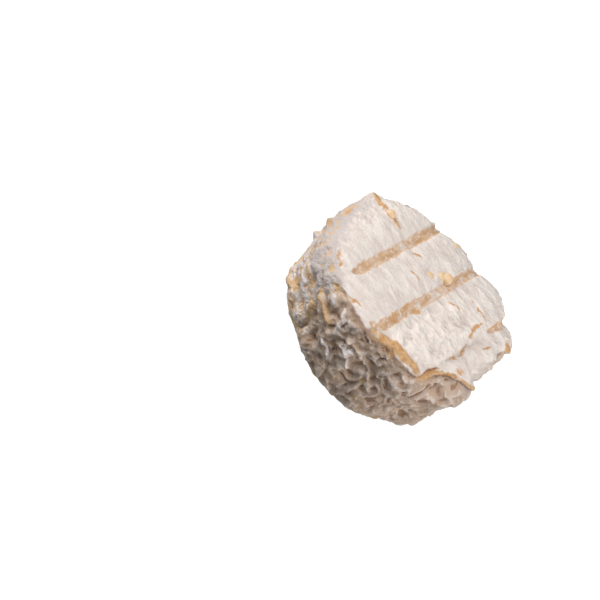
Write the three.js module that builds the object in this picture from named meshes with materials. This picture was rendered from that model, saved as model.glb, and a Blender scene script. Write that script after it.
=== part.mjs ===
// A small soft goat's cheese with a wrinkled bloomy rind, standing on its base.
// Its upper face is pressed with three grooves, and the band beyond the third has sunk.
// Millimetres, +Z up, origin at the middle of the base, grooves nearly along +Y.

import * as THREE from 'three';
import { mergeVertices } from 'three/addons/utils/BufferGeometryUtils.js';

// Driving sizes
const HEIGHT = 40;
const RIM_RADIUS = 33.5;
const FOOT_RADIUS = 30.2;
const FOOT_PRESSED = 1.3;
const WIDENING_START = -0.15;
const FACE_SHARE = RIM_RADIUS / (2 * (RIM_RADIUS + HEIGHT));
const FOOT_SHARE = 0.1;
const SKIN_SQUARES = 31;
const EASE_REACH = 0.9 / SKIN_SQUARES;

// Where the rim stands out or in: bearing from +X and spread in degrees, and the share of the
// height where it starts
const RIM_LOBES = [
  { bearing: 60, reach: 5.3, spread: 17, start: WIDENING_START },
  { bearing: 37, reach: 5.9, spread: 11, start: WIDENING_START },
  { bearing: 122, reach: 1.6, spread: 26, start: WIDENING_START },
  { bearing: 160, reach: 3.2, spread: 24, start: WIDENING_START },
  { bearing: 215, reach: 2.6, spread: 26, start: WIDENING_START },
  { bearing: 301, reach: 1.3, spread: 9, start: WIDENING_START },
  { bearing: 284, reach: -1.6, spread: 9, start: WIDENING_START },
  { bearing: 325, reach: -3.4, spread: 9, start: WIDENING_START },
  { bearing: 345.5, reach: 4.4, spread: 5, start: 0.5 },
  { bearing: 0, reach: -3.2, spread: 11, start: 0.2 },
];

// Where the foot stands out or in
const FOOT_LOBES = [
  { bearing: 240, reach: -3.8, spread: 24 },
  { bearing: 276, reach: -2.2, spread: 24 },
  { bearing: 340, reach: 1.3, spread: 11 },
];

// How sharply the side turns into the face: an old rounded edge, and a crisp one at the front
const EDGE_ROUND = 5.5;
const EDGE_CRISP = 13;
const CRISP_BEARING = -62;
const CRISP_FACING = { from: -0.1, to: 0.8 };
const FOOT_ROUND = 3.2;

// The pressed grooves: x where each crosses y = 0, its front end and its half width
const GROOVE_SLOPE = 0.085;
const GROOVE_DEPTH = 0.5;
const GROOVE_WALL = 0.4;
const GROOVE_WANDER = { size: 6, reach: 0.3, seed: 5 };
const GROOVE_RUN_IN = { depth: 3.5, width: 7, narrow: 0.35 };
const GROOVE_SHOULDER = { depth: 0.9, reach: 4.6, past: 0.3 };
const GROOVES = [
  { x: -15.2, front: -24.5, half: 1.65 },
  { x: 2.8, front: -32.6, half: 1.6 },
  { x: 21.6, front: 11.5, half: 1.25 },
];

// The front stretch of the third groove, closed to a fold, and how far the band beyond it sank
const FOLD_PATH = [
  [22.6, 12, HEIGHT],
  [22.7, 3, HEIGHT],
  [21.6, -1, HEIGHT],
  [22, -7, HEIGHT],
  [20.8, -13.5, HEIGHT],
  [21, -18, HEIGHT],
  [20, -22, HEIGHT],
  [20.2, -26.5, HEIGHT - 2],
];
const FOLD_CREASE = { depth: 0.9, reach: 1.0 };
const FOLD_VALLEY = { depth: 1.0, reach: 3.2 };
const FOLD_FADE = { from: 4, to: 12 };
const SUNK_BAND = { depth: 2.4, reach: 10, from: -4, to: 6 };

// Splits in the skin of the face and of its rim, and the creases of the fold
const SPLIT_STRAY = [{ size: 1.7, reach: 0.7, seed: 52 }];
const SPLIT_TAPER = { narrow: 0.45, run: 0.3 };
const SPLITS = [
  {
    depth: 0.4,
    half: 0.5,
    path: [[11.5, 14.9, HEIGHT], [14, 14.7, HEIGHT], [15.8, 14.2, HEIGHT], [19.4, 15.5, HEIGHT]],
  },
  {
    depth: 0.5,
    half: 0.65,
    path: [[18.7, 12.6, HEIGHT], [18.8, 8.2, HEIGHT], [19.3, 5.7, HEIGHT], [20.3, 2, HEIGHT]],
  },
  { depth: 0.35, half: 0.5, path: [[7.8, 4.5, HEIGHT], [10.6, 5.5, HEIGHT], [14, 4.5, HEIGHT]] },
  { depth: 0.4, half: 0.5, path: [[23.7, 5.2, 39.7], [25.7, 5.2, 39.5], [27, 9, 38.9]] },
  { depth: 0.25, half: 0.45, path: [[-7.4, -1.2, HEIGHT], [-5, 0, HEIGHT], [-3.1, -0.2, HEIGHT]] },
  { depth: 0.2, half: 0.4, path: [[-11.7, 6, HEIGHT], [-10.3, 7.2, HEIGHT], [-7.9, 8.3, HEIGHT]] },
  {
    depth: 0.5,
    half: 0.55,
    path: [[-17.1, -29.5, 35.9], [-12.3, -30.5, 38.3], [-9.9, -30.1, 39.1], [-6.9, -29.3, 39.6]],
  },
  {
    depth: 0.3,
    half: 0.5,
    path: [[-25, -20.1, 38.5], [-23.9, -22.3, 38.4], [-22, -23.4, 38.8], [-20.3, -26, 38.3]],
  },
  { depth: 0.5, half: 1.0, path: [[-33.8, -2.5, 34.4], [-33.6, -0.9, 35.2], [-33.9, 2.9, 35.3]] },
  {
    depth: 0.5,
    half: 0.5,
    path: [[1.5, -31.9, 37.3], [6.1, -30.6, 37.2], [10.2, -29.9, 37.2], [18.5, -28.3, 36.4]],
  },
  { depth: 0.7, half: 0.55, path: [[21.6, 1, 39.9], [22, -2.2, HEIGHT], [22.4, -4.6, HEIGHT]] },
  { depth: 0.3, half: 0.35, path: [[22.4, -4.6, HEIGHT], [20.8, -11.5, HEIGHT]] },
  {
    depth: 0.9,
    half: 0.85,
    path: [[21.4, -16.2, 39.5], [20.9, -19.4, 39.4], [20.4, -22.8, 39.3], [20.8, -26.4, 37.5]],
  },
];

// Smooth raised lips: round a groove's end, along the front, round the sunk band, and a drip
const LIP_END = { share: 0.12, height: 0.3 };
const LIPS = [
  {
    height: 0.5,
    half: 0.55,
    path: [[-1.6, -29.2, 39.5], [-1.8, -31, 39.1], [-0.2, -31.7, 38.7], [2.4, -31.2, 38.8]],
  },
  {
    height: 0.7,
    half: 1.5,
    path: [[1.5, -31.5, 38.6], [6.1, -29.2, 39.1], [10.2, -28.5, 39.1], [20.2, -26.6, 38]],
  },
  {
    height: 0.7,
    half: 0.85,
    path: [[20.8, -26.6, 36.6], [21.4, -21.3, 38.8], [24, -16.4, 38.3], [28.3, -11.9, 39]],
  },
  { height: 0.7, half: 0.95, path: [[28.3, -11.9, 39], [33.6, -8.9, 38.9], [34, -8, 38]] },
  { height: 0.4, half: 1.1, path: [[-32.8, 12.4, 36.6], [-29.3, 10.4, 38.2], [-27, 9.6, 39]] },
  { height: 0.4, half: 0.6, path: [[-27, 9.6, 39], [-22.8, 9.1, 39.6], [-19.5, 8, 39.8]] },
  { height: 0.2, half: 1.4, path: [[29.3, 18.6, 37.4], [30.6, 16.4, 36.8]] },
];

// Folds and tubes of the side's skin; those with a height below nothing are furrows
const SIDE_FOLD_END = { share: 0.15, height: 0.3 };
const SIDE_FOLDS = [
  {
    height: 1.5,
    half: 1.5,
    path: [[-30.8, -10.2, 15], [-29.6, -12.3, 13.4], [-27.8, -14.9, 12], [-24.7, -19.8, 14.2]],
  },
  { height: 1.2, half: 1.4, path: [[-24.7, -19.8, 14.2], [-21.6, -21.1, 11.8]] },
  {
    height: 1.1,
    half: 1.3,
    path: [[-29.2, -18, 24.2], [-27.2, -20.2, 22.7], [-24.1, -23, 22.4], [-23, -23, 19.5]],
  },
  { height: -1.3, half: 0.9, path: [[-29.2, -15.2, 16.9], [-26.4, -19.1, 17], [-24, -21.3, 16.7]] },
  { height: -1.4, half: 0.8, path: [[-15.5, -22.1, 7.7], [-14.3, -25.3, 12.5], [-14, -27, 17]] },
  {
    height: 1.2,
    half: 0.8,
    path: [[-8.6, -29.8, 20], [-4.5, -30.8, 20.3], [-2.2, -30.5, 17.7], [-1.8, -30.3, 16.2]],
  },
  { height: 1.0, half: 0.75, path: [[-3.2, -32.4, 25.2], [-0.4, -32.2, 26.3], [0.8, -32.4, 28.1]] },
  { height: 0.8, half: 0.6, path: [[-1.8, -32.4, 28.4], [-0.4, -32.2, 26.3], [1.4, -31.8, 25]] },
  { height: 1.0, half: 0.6, path: [[-2.8, -32.7, 30.4], [2.8, -32.2, 29.9]] },
  { height: -1.1, half: 0.8, path: [[-4.2, -32.2, 28.2], [-1, -32.4, 29.2], [1.6, -32.4, 28.9]] },
  { height: 0.9, half: 0.8, path: [[-9.7, -32.1, 35.4], [-8, -32.3, 32.8], [-6.7, -31.8, 27.8]] },
  { height: 0.9, half: 0.8, path: [[-15.2, -30.3, 35.2], [-13.1, -30.8, 31.8]] },
  { height: 1.5, half: 1.6, path: [[-34, -4.8, 29.7], [-34.1, -2.4, 28.6]] },
  { height: 1.8, half: 1.3, path: [[-33.7, -6.8, 24.8], [-33.3, -4.9, 22.7]] },
  {
    height: 1.2,
    half: 1.1,
    path: [[-28.2, -19.9, 25.9], [-26.1, -22.6, 26.8], [-22.3, -25.2, 25.7]],
  },
  { height: 1.6, half: 0.9, path: [[-18.7, -28.1, 29.5], [-13.7, -30, 28.2], [-9.4, -31.1, 27.3]] },
  {
    height: 1.4,
    half: 1.3,
    path: [[-18.1, -27.2, 24.3], [-16.8, -27.4, 22.9], [-15.5, -26.7, 18.2]],
  },
];

// Drops of thick whey dried on the skin, and the horn that one has drawn up on the rim
const DROPS = [
  { at: [-25, 9.3, 39.6], reach: 1.6, height: 1.2 },
  { at: [1.7, 11.4, 39.2], reach: 1.95, height: 2.0 },
  { at: [0.1, 10.4, 39.2], reach: 1.7, height: 1.2 },
  { at: [-2.5, 6.1, 39.5], reach: 1.3, height: 0.7 },
  { at: [-4.8, 27.2, 38.2], reach: 1.3, height: 0.7 },
];
const HORN = { at: [-32.8, 12.2, 35.4], reach: 2.3, height: 2.0 };

// Soft round lumps, and hollows where the height is below nothing
const LUMPS = [
  { at: [-17.2, -24.5, 13.9], reach: 3.0, height: 1.7 },
  { at: [-10.3, -26.9, 12], reach: 3.8, height: 1.7 },
  { at: [-9.7, -28.3, 15.7], reach: 1.7, height: -1.6 },
  { at: [-3.6, -29.7, 14.7], reach: 2.4, height: -1.6 },
  { at: [-23.2, -25.1, 27.4], reach: 1.9, height: -2.0 },
  { at: [-11.5, -31, 30.5], reach: 1.8, height: -1.0 },
  { at: [30.5, -2.2, 37.5], reach: 4.0, height: -1.6 },
  { at: [28.5, -19.5, 27], reach: 8.0, height: 2.2 },
  HORN,
];

// The side's tangle: pits that meet in walls under winding folds, drawn out the way the cheese leant
const SAG_WAY = [0.788, -0.387, -0.478];
const SAG = { drawn: 0.35, slide: 0.95, keptOnLeft: 0.7 };
const SIDE_BENDS = [
  { size: 6.0, reach: 2.2, seed: 11 },
  { size: 2.2, reach: 0.6, seed: 14 },
];
const PITS = { size: 3.9, seed: 21, least: 0.3, patchy: 0.6, underFolds: 0.5 };
const LARGE_FOLDS = { size: 4.4, seed: 22, height: 0.6 };
const SMALL_FOLDS = { size: 2.3, shift: 3.7, seed: 23, height: 0.3, even: 1.2 };
const PATCHES = { size: 5, seed: 24, from: -0.5, to: 0.4 };
const TANGLE_SUNK = 0.8;

// The left of the side: a heap of round domes, and a powdery bank above it under the rim
const LEFT = { bearing: -160, from: 0.5, to: 0.97 };
const HEAP_BENDS = [{ size: 5, reach: 1.5, seed: 31 }];
const DOMES = { size: 4.2, seed: 34, width: 0.8, height: 1.3 };
const HEAP = { height: 0.7, pits: 0.3, folds: 0.3, sunk: 0.9 };
const BANK = { bearing: -153, from: 0.55, to: 0.85, low: 0.5, high: 0.8, calm: 0.65 };
const BANK_LUMPS = { size: 3.2, seed: 36, height: 0.56 };
const BANK_GRAIN = { size: 1.4, seed: 35, height: 0.32 };

// Where the side is calmer: just under the rim, near the foot, and where the face's bloom runs down
const UNDER_RIM = { top: 0.965, reach: 0.08, least: 0.25 };
const NEAR_FOOT = { from: 0.05, to: 0.35, least: 0.45, most: 0.9 };
const BLOOM = { from: 0.45, to: 0.75, spread: 12, calm: 0.7 };

// The face's low crumples, long across the grooves and strongest in the third band
const FACE_BENDS = [
  { size: 5, reach: 1.8, seed: 41 },
  { size: 1.8, reach: 0.5, seed: 46 },
];
const FACE_STRETCH = 2.4;
const FACE_PITS = { size: 3.4, seed: 44, height: 0.4 };
const FACE_DRAPES = { size: 2.8, seed: 42, height: 0.6 };
const FACE_CALM = { size: 9, seed: 45, middle: 0.6, swing: 0.4 };
const BAND_FOLDS = { size: 3.2, seed: 47, height: 1.4, pits: 0.3, sunk: 0.7 };
const BAND = { left: [3, 8], right: [17, 21], back: [4, 16], front: [-30, -26] };
const SWELLS = { size: 11, seed: 31, height: 0.8, onFace: 0.4 };

// Where the face, the side and the grooves' ground begin, by slope and by share of the height
const FACE_SLOPE = { from: 0.25, to: 0.7 };
const SIDE_SLOPE = { from: 0.35, to: 0.85 };
const SIDE_START = { from: 0.02, to: 0.2 };
const NEAR_FACE = { from: 0.72, to: 0.93 };

const CREAM = '#ddd0c6';

// How the mesh is drawn together at the grooves, where the form is finest
const GATHER = { pull: 0.5, reach: 3.4, low: 0.9, high: 0.97, slopeFrom: 0.35, slopeTo: 0.8 };

// The shape of a fold's crest and of a pit's wall
const CREST = { broad: 0.6, broadReach: 0.36, thin: 0.4, thinReach: 0.16 };
const BOWL = { deep: 0.85, reach: 0.75, power: 1.4, wall: 0.15, wallReach: 0.15, most: 1.1 };

// Patterns in space from a hashed grid
const HASH_BITS = 10;
const HASH_MASK = 1023;
const HASH_MIDDLE = 511.5;
const NOISE_GAIN = 1.5;
const CORNERS = [0, 1];
const NEIGHBOURS = [-1, 0, 1];

const radians = THREE.MathUtils.degToRad;
const rise = (from, to, value) => THREE.MathUtils.smoothstep(value, from, to);
const swell = (distance, reach) => Math.exp(-((distance / reach) ** 2));
const scaled = (place, size) => place.map((value) => value / size);

// Three numbers from -1 to 1 for a grid corner
const corner = (cell, seed) => {
  let hash = Math.imul(cell[0], 0x8da6b343) ^ Math.imul(cell[1], 0xd8163841);
  hash ^= Math.imul(cell[2], 0xcb1ab31f) ^ Math.imul(seed, 0x9e3779b1);
  hash = Math.imul(hash ^ (hash >>> 15), 0x2c1b3c6d);
  hash = Math.imul(hash ^ (hash >>> 12), 0x297a2d39);
  hash = (hash ^ (hash >>> 15)) >>> 0;
  return cell.map((_, axis) => ((hash >>> (HASH_BITS * axis)) & HASH_MASK) / HASH_MIDDLE - 1);
};

// The grid cells that begin at each of the given steps from a cell
const cellsRound = (cell, steps) => {
  const rows = steps.flatMap((i) => steps.flatMap((j) => steps.map((k) => [i, j, k])));
  return rows.map((row) => row.map((step, axis) => cell[axis] + step));
};

// Gradient noise, from about -1 to 1
const noise = (place, seed) => {
  const cell = place.map(Math.floor);
  const inside = place.map((value, axis) => value - cell[axis]);
  const fade = inside.map((t) => t * t * t * (t * (t * 6 - 15) + 10));
  let total = 0;
  for (const start of cellsRound(cell, CORNERS)) {
    const slopes = corner(start, seed);
    let weight = NOISE_GAIN;
    let slope = 0;
    for (let axis = 0; axis < slopes.length; axis += 1) {
      const step = start[axis] - cell[axis];
      weight *= step ? fade[axis] : 1 - fade[axis];
      slope += slopes[axis] * (inside[axis] - step);
    }
    total += weight * slope;
  }
  return total;
};

// Distances to the nearest and the second nearest of scattered points, one to a grid cell
const nearestTwo = (place, seed) => {
  let first = Infinity;
  let second = Infinity;
  for (const start of cellsRound(place.map(Math.floor), NEIGHBOURS)) {
    const shift = corner(start, seed);
    const gaps = start.map((value, axis) => value + (1 + shift[axis]) / 2 - place[axis]);
    const gap = Math.hypot(...gaps);
    second = Math.min(second, Math.max(first, gap));
    first = Math.min(first, gap);
  }
  return { first, second };
};

// Bends a pattern's place by noises of several sizes
const bent = (place, bends) =>
  place.map((value, axis) => {
    const shifts = bends.map((bend) => bend.reach * noise(scaled(place, bend.size), bend.seed + axis));
    return shifts.reduce((total, shift) => total + shift, value);
  });

// Winding folds: 0 in the hollows and 1 on the crests
const folds = (place, seed) => {
  const level = noise(place, seed);
  return CREST.broad * swell(level, CREST.broadReach) + CREST.thin * swell(level, CREST.thinReach);
};

// Pits that meet in sharp walls: 0 in the pits and 1 on the walls
const bowls = (place, seed) => {
  const { first, second } = nearestTwo(place, seed);
  const slope = BOWL.deep * (first / BOWL.reach) ** BOWL.power;
  return Math.min(slope + BOWL.wall * swell(second - first, BOWL.wallReach), BOWL.most);
};

// How squarely a bearing faces a lobe
const facing = (bearing, lobe) => {
  const turn = THREE.MathUtils.euclideanModulo(bearing - radians(lobe.bearing) + Math.PI, 2 * Math.PI);
  return swell(turn - Math.PI, radians(lobe.spread));
};

// The drum's radius at a bearing, and at a share of the height
const girth = (bearing, up) => {
  const widening = rise(WIDENING_START, 1, up);
  let radius = FOOT_RADIUS + (RIM_RADIUS - FOOT_RADIUS) * widening;
  for (const lobe of RIM_LOBES) {
    radius += lobe.reach * facing(bearing, lobe) * rise(lobe.start, 1, up);
  }
  for (const lobe of FOOT_LOBES) {
    radius += lobe.reach * facing(bearing, lobe) * (1 - widening);
  }
  return radius;
};

// Takes a direction to a drum of the cheese's proportions
const drumPlace = (direction) => {
  const share = (1 - direction.z) / 2;
  const fromFace = Math.sqrt(Math.min(share / FACE_SHARE, 1));
  const fromFoot = Math.sqrt(Math.min((1 - share) / FOOT_SHARE, 1));
  const level = 1 - (2 * (share - FACE_SHARE)) / (1 - FACE_SHARE - FOOT_SHARE);
  return { across: Math.min(fromFace, fromFoot), level: THREE.MathUtils.clamp(level, -1, 1) };
};

const gatherToGrooves = (point, normal, up) => {
  const level = rise(GATHER.low, GATHER.high, up) * rise(GATHER.slopeFrom, GATHER.slopeTo, normal.z);
  const strength = GATHER.pull * level;
  const start = point.x;
  for (const groove of GROOVES) {
    const gap = start - groove.x - point.y * GROOVE_SLOPE;
    point.x -= strength * gap * swell(gap, GATHER.reach);
  }
};

// The smooth body: a rounded drum whose outline bulges by its lobes
const bodyPoint = (direction) => {
  const bearing = Math.atan2(direction.y, direction.x);
  const drum = drumPlace(direction);
  const towardsFront = Math.cos(bearing - radians(CRISP_BEARING));
  const crispness = rise(CRISP_FACING.from, CRISP_FACING.to, towardsFront);
  const edge = THREE.MathUtils.lerp(EDGE_ROUND, EDGE_CRISP, crispness);
  const power = drum.level > 0 ? edge : FOOT_ROUND;
  const squeeze = (drum.across ** power + Math.abs(drum.level) ** power) ** (-1 / power);
  const across = drum.across * squeeze;
  const level = drum.level * squeeze;
  const up = (1 + level) / 2;
  const radius = girth(bearing, up);
  const height = (HEIGHT + FOOT_PRESSED) * up - FOOT_PRESSED;
  const outward = across ** (power - 1) / radius;
  const upward = (Math.sign(level) * Math.abs(level) ** (power - 1)) / (HEIGHT / 2);
  const cosine = Math.cos(bearing);
  const sine = Math.sin(bearing);
  const normal = new THREE.Vector3(outward * cosine, outward * sine, upward).normalize();
  const point = new THREE.Vector3(across * radius * cosine, across * radius * sine, height);
  gatherToGrooves(point, normal, up);
  return { point, normal, up, bearing };
};

// Distance from a point to a path of straight stretches, and the share of the path passed there
const pathPlace = (point, path) => {
  const stops = path.map((stop) => new THREE.Vector3(...stop));
  const nearest = new THREE.Vector3();
  let best = { distance: Infinity, share: 0 };
  for (let index = 0; index + 1 < stops.length; index += 1) {
    const stretch = new THREE.Line3(stops[index], stops[index + 1]);
    const along = stretch.closestPointToPointParameter(point, true);
    const distance = stretch.at(along, nearest).distanceTo(point);
    if (distance < best.distance) {
      best = { distance, share: (index + along) / (stops.length - 1) };
    }
  }
  return best;
};

// The pressed grooves with their soft shoulders, and how far a point is on a groove's floor
const grooveRelief = (point) => {
  let relief = 0;
  let floor = 0;
  for (const groove of GROOVES) {
    const wander = GROOVE_WANDER.reach * noise([groove.x, point.y / GROOVE_WANDER.size, 0], GROOVE_WANDER.seed);
    const gap = point.x - groove.x - point.y * GROOVE_SLOPE + wander;
    const along = rise(groove.front, groove.front + GROOVE_RUN_IN.depth, point.y);
    const widening = rise(groove.front, groove.front + GROOVE_RUN_IN.width, point.y);
    const half = groove.half * THREE.MathUtils.lerp(GROOVE_RUN_IN.narrow, 1, widening);
    const channel = along * (1 - rise(half - GROOVE_WALL, half + GROOVE_WALL, Math.abs(gap)));
    const shoulder = swell(gap, GROOVE_SHOULDER.reach) * THREE.MathUtils.lerp(GROOVE_SHOULDER.past, 1, along);
    relief -= GROOVE_SHOULDER.depth * shoulder + GROOVE_DEPTH * channel;
    floor = Math.max(floor, channel);
  }
  return { relief, floor };
};

// x of the fold at a given y
const foldX = (y) => {
  const stops = [...FOLD_PATH].reverse();
  const next = stops.findIndex((stop) => stop[1] >= y);
  if (next < 0) {
    return stops[stops.length - 1][0];
  }
  if (next === 0) {
    return stops[0][0];
  }
  const [before, after] = [stops[next - 1], stops[next]];
  return THREE.MathUtils.mapLinear(y, before[1], after[1], before[0], after[0]);
};

const foldRelief = (point) => {
  const { distance } = pathPlace(point, FOLD_PATH);
  const front = 1 - rise(SUNK_BAND.from, SUNK_BAND.to, point.y);
  let relief = -SUNK_BAND.depth * front * rise(0, SUNK_BAND.reach, point.x - foldX(point.y));
  const crease = swell(distance, FOLD_CREASE.reach) * (1 - rise(FOLD_FADE.from, FOLD_FADE.to, point.y));
  relief -= FOLD_CREASE.depth * crease;
  relief -= FOLD_VALLEY.depth * swell(distance, FOLD_VALLEY.reach);
  return relief;
};

// How much of the side's relief is left at a point
const sideCalm = (up, bearing, bank) => {
  const underRim = rise(0, UNDER_RIM.reach, UNDER_RIM.top - up);
  const bloom = rise(BLOOM.from, BLOOM.to, up) * swell(bearing, radians(BLOOM.spread));
  const nearFoot = rise(NEAR_FOOT.from, NEAR_FOOT.to, up);
  const levels = [
    THREE.MathUtils.lerp(UNDER_RIM.least, 1, underRim),
    THREE.MathUtils.lerp(NEAR_FOOT.least, NEAR_FOOT.most, nearFoot),
    1 - BANK.calm * bank,
    1 - BLOOM.calm * bloom,
  ];
  return levels.reduce((product, level) => product * level, 1);
};

// The side's relief, and how much of the left's heap there is in it
const sideRelief = ({ point, up, bearing }) => {
  const place = point.toArray();
  const along = SAG.drawn * point.dot(new THREE.Vector3(...SAG_WAY));
  const drawn = place.map((value, axis) => value + along * SAG_WAY[axis]);
  const tangled = bent(drawn, SIDE_BENDS);
  const pits = bowls(scaled(tangled, PITS.size), PITS.seed);
  const large = folds(scaled(tangled, LARGE_FOLDS.size), LARGE_FOLDS.seed);
  const smallPlace = scaled(tangled, SMALL_FOLDS.size).map((value) => value + SMALL_FOLDS.shift);
  const small = folds(smallPlace, SMALL_FOLDS.seed);
  const patchy = rise(PATCHES.from, PATCHES.to, noise(scaled(place, PATCHES.size), PATCHES.seed));
  const pitted = (PITS.least + PITS.patchy * patchy) * pits * (PITS.underFolds + large);
  const folded = LARGE_FOLDS.height * large + SMALL_FOLDS.height * (SMALL_FOLDS.even - patchy) * small;
  const left = rise(LEFT.from, LEFT.to, Math.cos(bearing - radians(LEFT.bearing)));
  const rounded = bent(place, HEAP_BENDS);
  const dome = Math.min(nearestTwo(scaled(rounded, DOMES.size), DOMES.seed).first / DOMES.width, 1);
  const heap = DOMES.height * (1 - dome * dome) + HEAP.pits * pits + HEAP.folds * small - HEAP.sunk;
  const facingBank = rise(BANK.from, BANK.to, Math.cos(bearing - radians(BANK.bearing)));
  const bank = rise(BANK.low, BANK.high, up) * facingBank;
  const lumps = BANK_LUMPS.height * noise(scaled(rounded, BANK_LUMPS.size), BANK_LUMPS.seed);
  const grains = BANK_GRAIN.height * noise(scaled(rounded, BANK_GRAIN.size), BANK_GRAIN.seed);
  const heaped = THREE.MathUtils.lerp(pitted + folded - TANGLE_SUNK, HEAP.height * heap, left);
  return { relief: heaped * sideCalm(up, bearing, bank) + bank * (lumps + grains), left };
};

const faceRelief = (point) => {
  const place = point.toArray();
  const across = rise(...BAND.left, point.x) * (1 - rise(...BAND.right, point.x));
  const band = across * (1 - rise(...BAND.back, point.y)) * rise(...BAND.front, point.y);
  const [x, y, z] = bent(place, FACE_BENDS);
  const stretched = [x / FACE_STRETCH, y, z];
  const pits = bowls(scaled(stretched, FACE_PITS.size), FACE_PITS.seed);
  const drapes = noise(scaled(stretched, FACE_DRAPES.size), FACE_DRAPES.seed);
  const bandFolds = folds(scaled(stretched, BAND_FOLDS.size), BAND_FOLDS.seed);
  const calm = FACE_CALM.middle + FACE_CALM.swing * noise(scaled(place, FACE_CALM.size), FACE_CALM.seed);
  const crumples = calm * (FACE_DRAPES.height * drapes + FACE_PITS.height * pits);
  return crumples + band * (BAND_FOLDS.height * bandFolds + BAND_FOLDS.pits * pits - BAND_FOLDS.sunk);
};

// The relief of a ridge along a path, lower at its ends
const ridgeRelief = (point, ridge, end) => {
  const { distance, share } = pathPlace(point, ridge.path);
  const level = rise(0, end.share, share) * (1 - rise(1 - end.share, 1, share));
  return ridge.height * swell(distance, ridge.half) * THREE.MathUtils.lerp(end.height, 1, level);
};

// Splits, lips, folds, lumps, drops and the horn
const markRelief = (point) => {
  const strayed = new THREE.Vector3(...bent(point.toArray(), SPLIT_STRAY));
  let relief = 0;
  for (const split of SPLITS) {
    const { distance, share } = pathPlace(strayed, split.path);
    const level = rise(0, SPLIT_TAPER.run, share) * (1 - rise(1 - SPLIT_TAPER.run, 1, share));
    relief -= split.depth * swell(distance, split.half * THREE.MathUtils.lerp(SPLIT_TAPER.narrow, 1, level));
  }
  for (const lump of LUMPS) {
    relief += lump.height * swell(point.distanceTo(new THREE.Vector3(...lump.at)), lump.reach);
  }
  for (const lip of LIPS) {
    relief += ridgeRelief(point, lip, LIP_END);
  }
  for (const fold of SIDE_FOLDS) {
    relief += ridgeRelief(point, fold, SIDE_FOLD_END);
  }
  for (const drop of DROPS) {
    const off = point.distanceTo(new THREE.Vector3(...drop.at)) / drop.reach;
    relief += drop.height * Math.sqrt(Math.max(1 - off * off, 0));
  }
  return relief;
};

// A point of the skin: the smooth body, raised by its relief and slid the way the side sagged
const skinPoint = (direction) => {
  const place = bodyPoint(direction);
  const { point, normal, up } = place;
  const face = rise(FACE_SLOPE.from, FACE_SLOPE.to, normal.z);
  const sideways = rise(SIDE_SLOPE.from, SIDE_SLOPE.to, Math.hypot(normal.x, normal.y));
  const side = sideways * rise(SIDE_START.from, SIDE_START.to, up);
  const grooves = grooveRelief(point);
  const tangle = sideRelief(place);
  const swells = noise(scaled(point.toArray(), SWELLS.size), SWELLS.seed);
  let relief = rise(NEAR_FACE.from, NEAR_FACE.to, up) * (grooves.relief + foldRelief(point));
  relief += side * tangle.relief + face * (1 - grooves.floor) * faceRelief(point) + markRelief(point);
  relief += SWELLS.height * swells * THREE.MathUtils.lerp(1, SWELLS.onFace, face);
  const slide = SAG.slide * side * (1 - SAG.keptOnLeft * tangle.left) * tangle.relief;
  const alongSkin = new THREE.Vector3(...SAG_WAY).projectOnPlane(normal);
  point.addScaledVector(normal, relief).addScaledVector(alongSkin, slide);
  point.z = Math.max(point.z, 0);
  return point;
};

// Takes a place on a cube from -1 to 1 to a direction, with the cube's lines along the grooves
const UP = new THREE.Vector3(0, 0, 1);
const cubeDirection = (place) => {
  const warped = place.map((value) => Math.tan((value * Math.PI) / 4));
  return new THREE.Vector3(...warped).normalize().applyAxisAngle(UP, -Math.atan(GROOVE_SLOPE));
};

// The mean of a place's skin point and four close by, so that no wrinkle is finer than the mesh
const easedPoint = (place) => {
  const lengths = place.map(Math.abs);
  const flat = lengths.indexOf(Math.max(...lengths));
  const axes = [0, 1, 2].filter((axis) => axis !== flat);
  const steps = axes.flatMap((axis) => [[axis, -EASE_REACH], [axis, EASE_REACH]]);
  const near = steps.map(([axis, step]) => place.with(axis, place[axis] + step));
  const points = [place, ...near].map((spot) => skinPoint(cubeDirection(spot)));
  return points.reduce((sum, point) => sum.add(point)).divideScalar(points.length);
};

// The skin's mesh: a cube's squares pushed out to a sphere, and then to the cheese
const skinGeometry = () => {
  const cube = new THREE.BoxGeometry(2, 2, 2, SKIN_SQUARES, SKIN_SQUARES, SKIN_SQUARES);
  cube.deleteAttribute('normal');
  cube.deleteAttribute('uv');
  const skin = mergeVertices(cube);
  const places = skin.getAttribute('position');
  const place = new THREE.Vector3();
  for (let index = 0; index < places.count; index += 1) {
    place.fromBufferAttribute(places, index);
    places.setXYZ(index, ...easedPoint(place.toArray()).toArray());
  }
  skin.clearGroups();
  return skin;
};

const rind = new THREE.MeshStandardMaterial({ color: CREAM, roughness: 0.85, metalness: 0 });
const cheese = new THREE.Mesh(skinGeometry(), rind);
cheese.name = 'cheese';

const part = new THREE.Group();
part.add(cheese);

export default part;
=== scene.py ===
"""A small soft goat's cheese with a wrinkled bloomy rind, and its studio.

The skin is one mesh, worked out from the cheese's own sizes in millimetres. The
drops of dried whey on it are pieces of their own. The cheese stands on its base,
with +Z up out of its grooved face and the grooves running nearly along +Y.
"""

import logging
import math
from dataclasses import dataclass, replace
from enum import Enum
from itertools import product

import bpy
import numpy as np
from mathutils import Matrix, Quaternion, Vector


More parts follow.
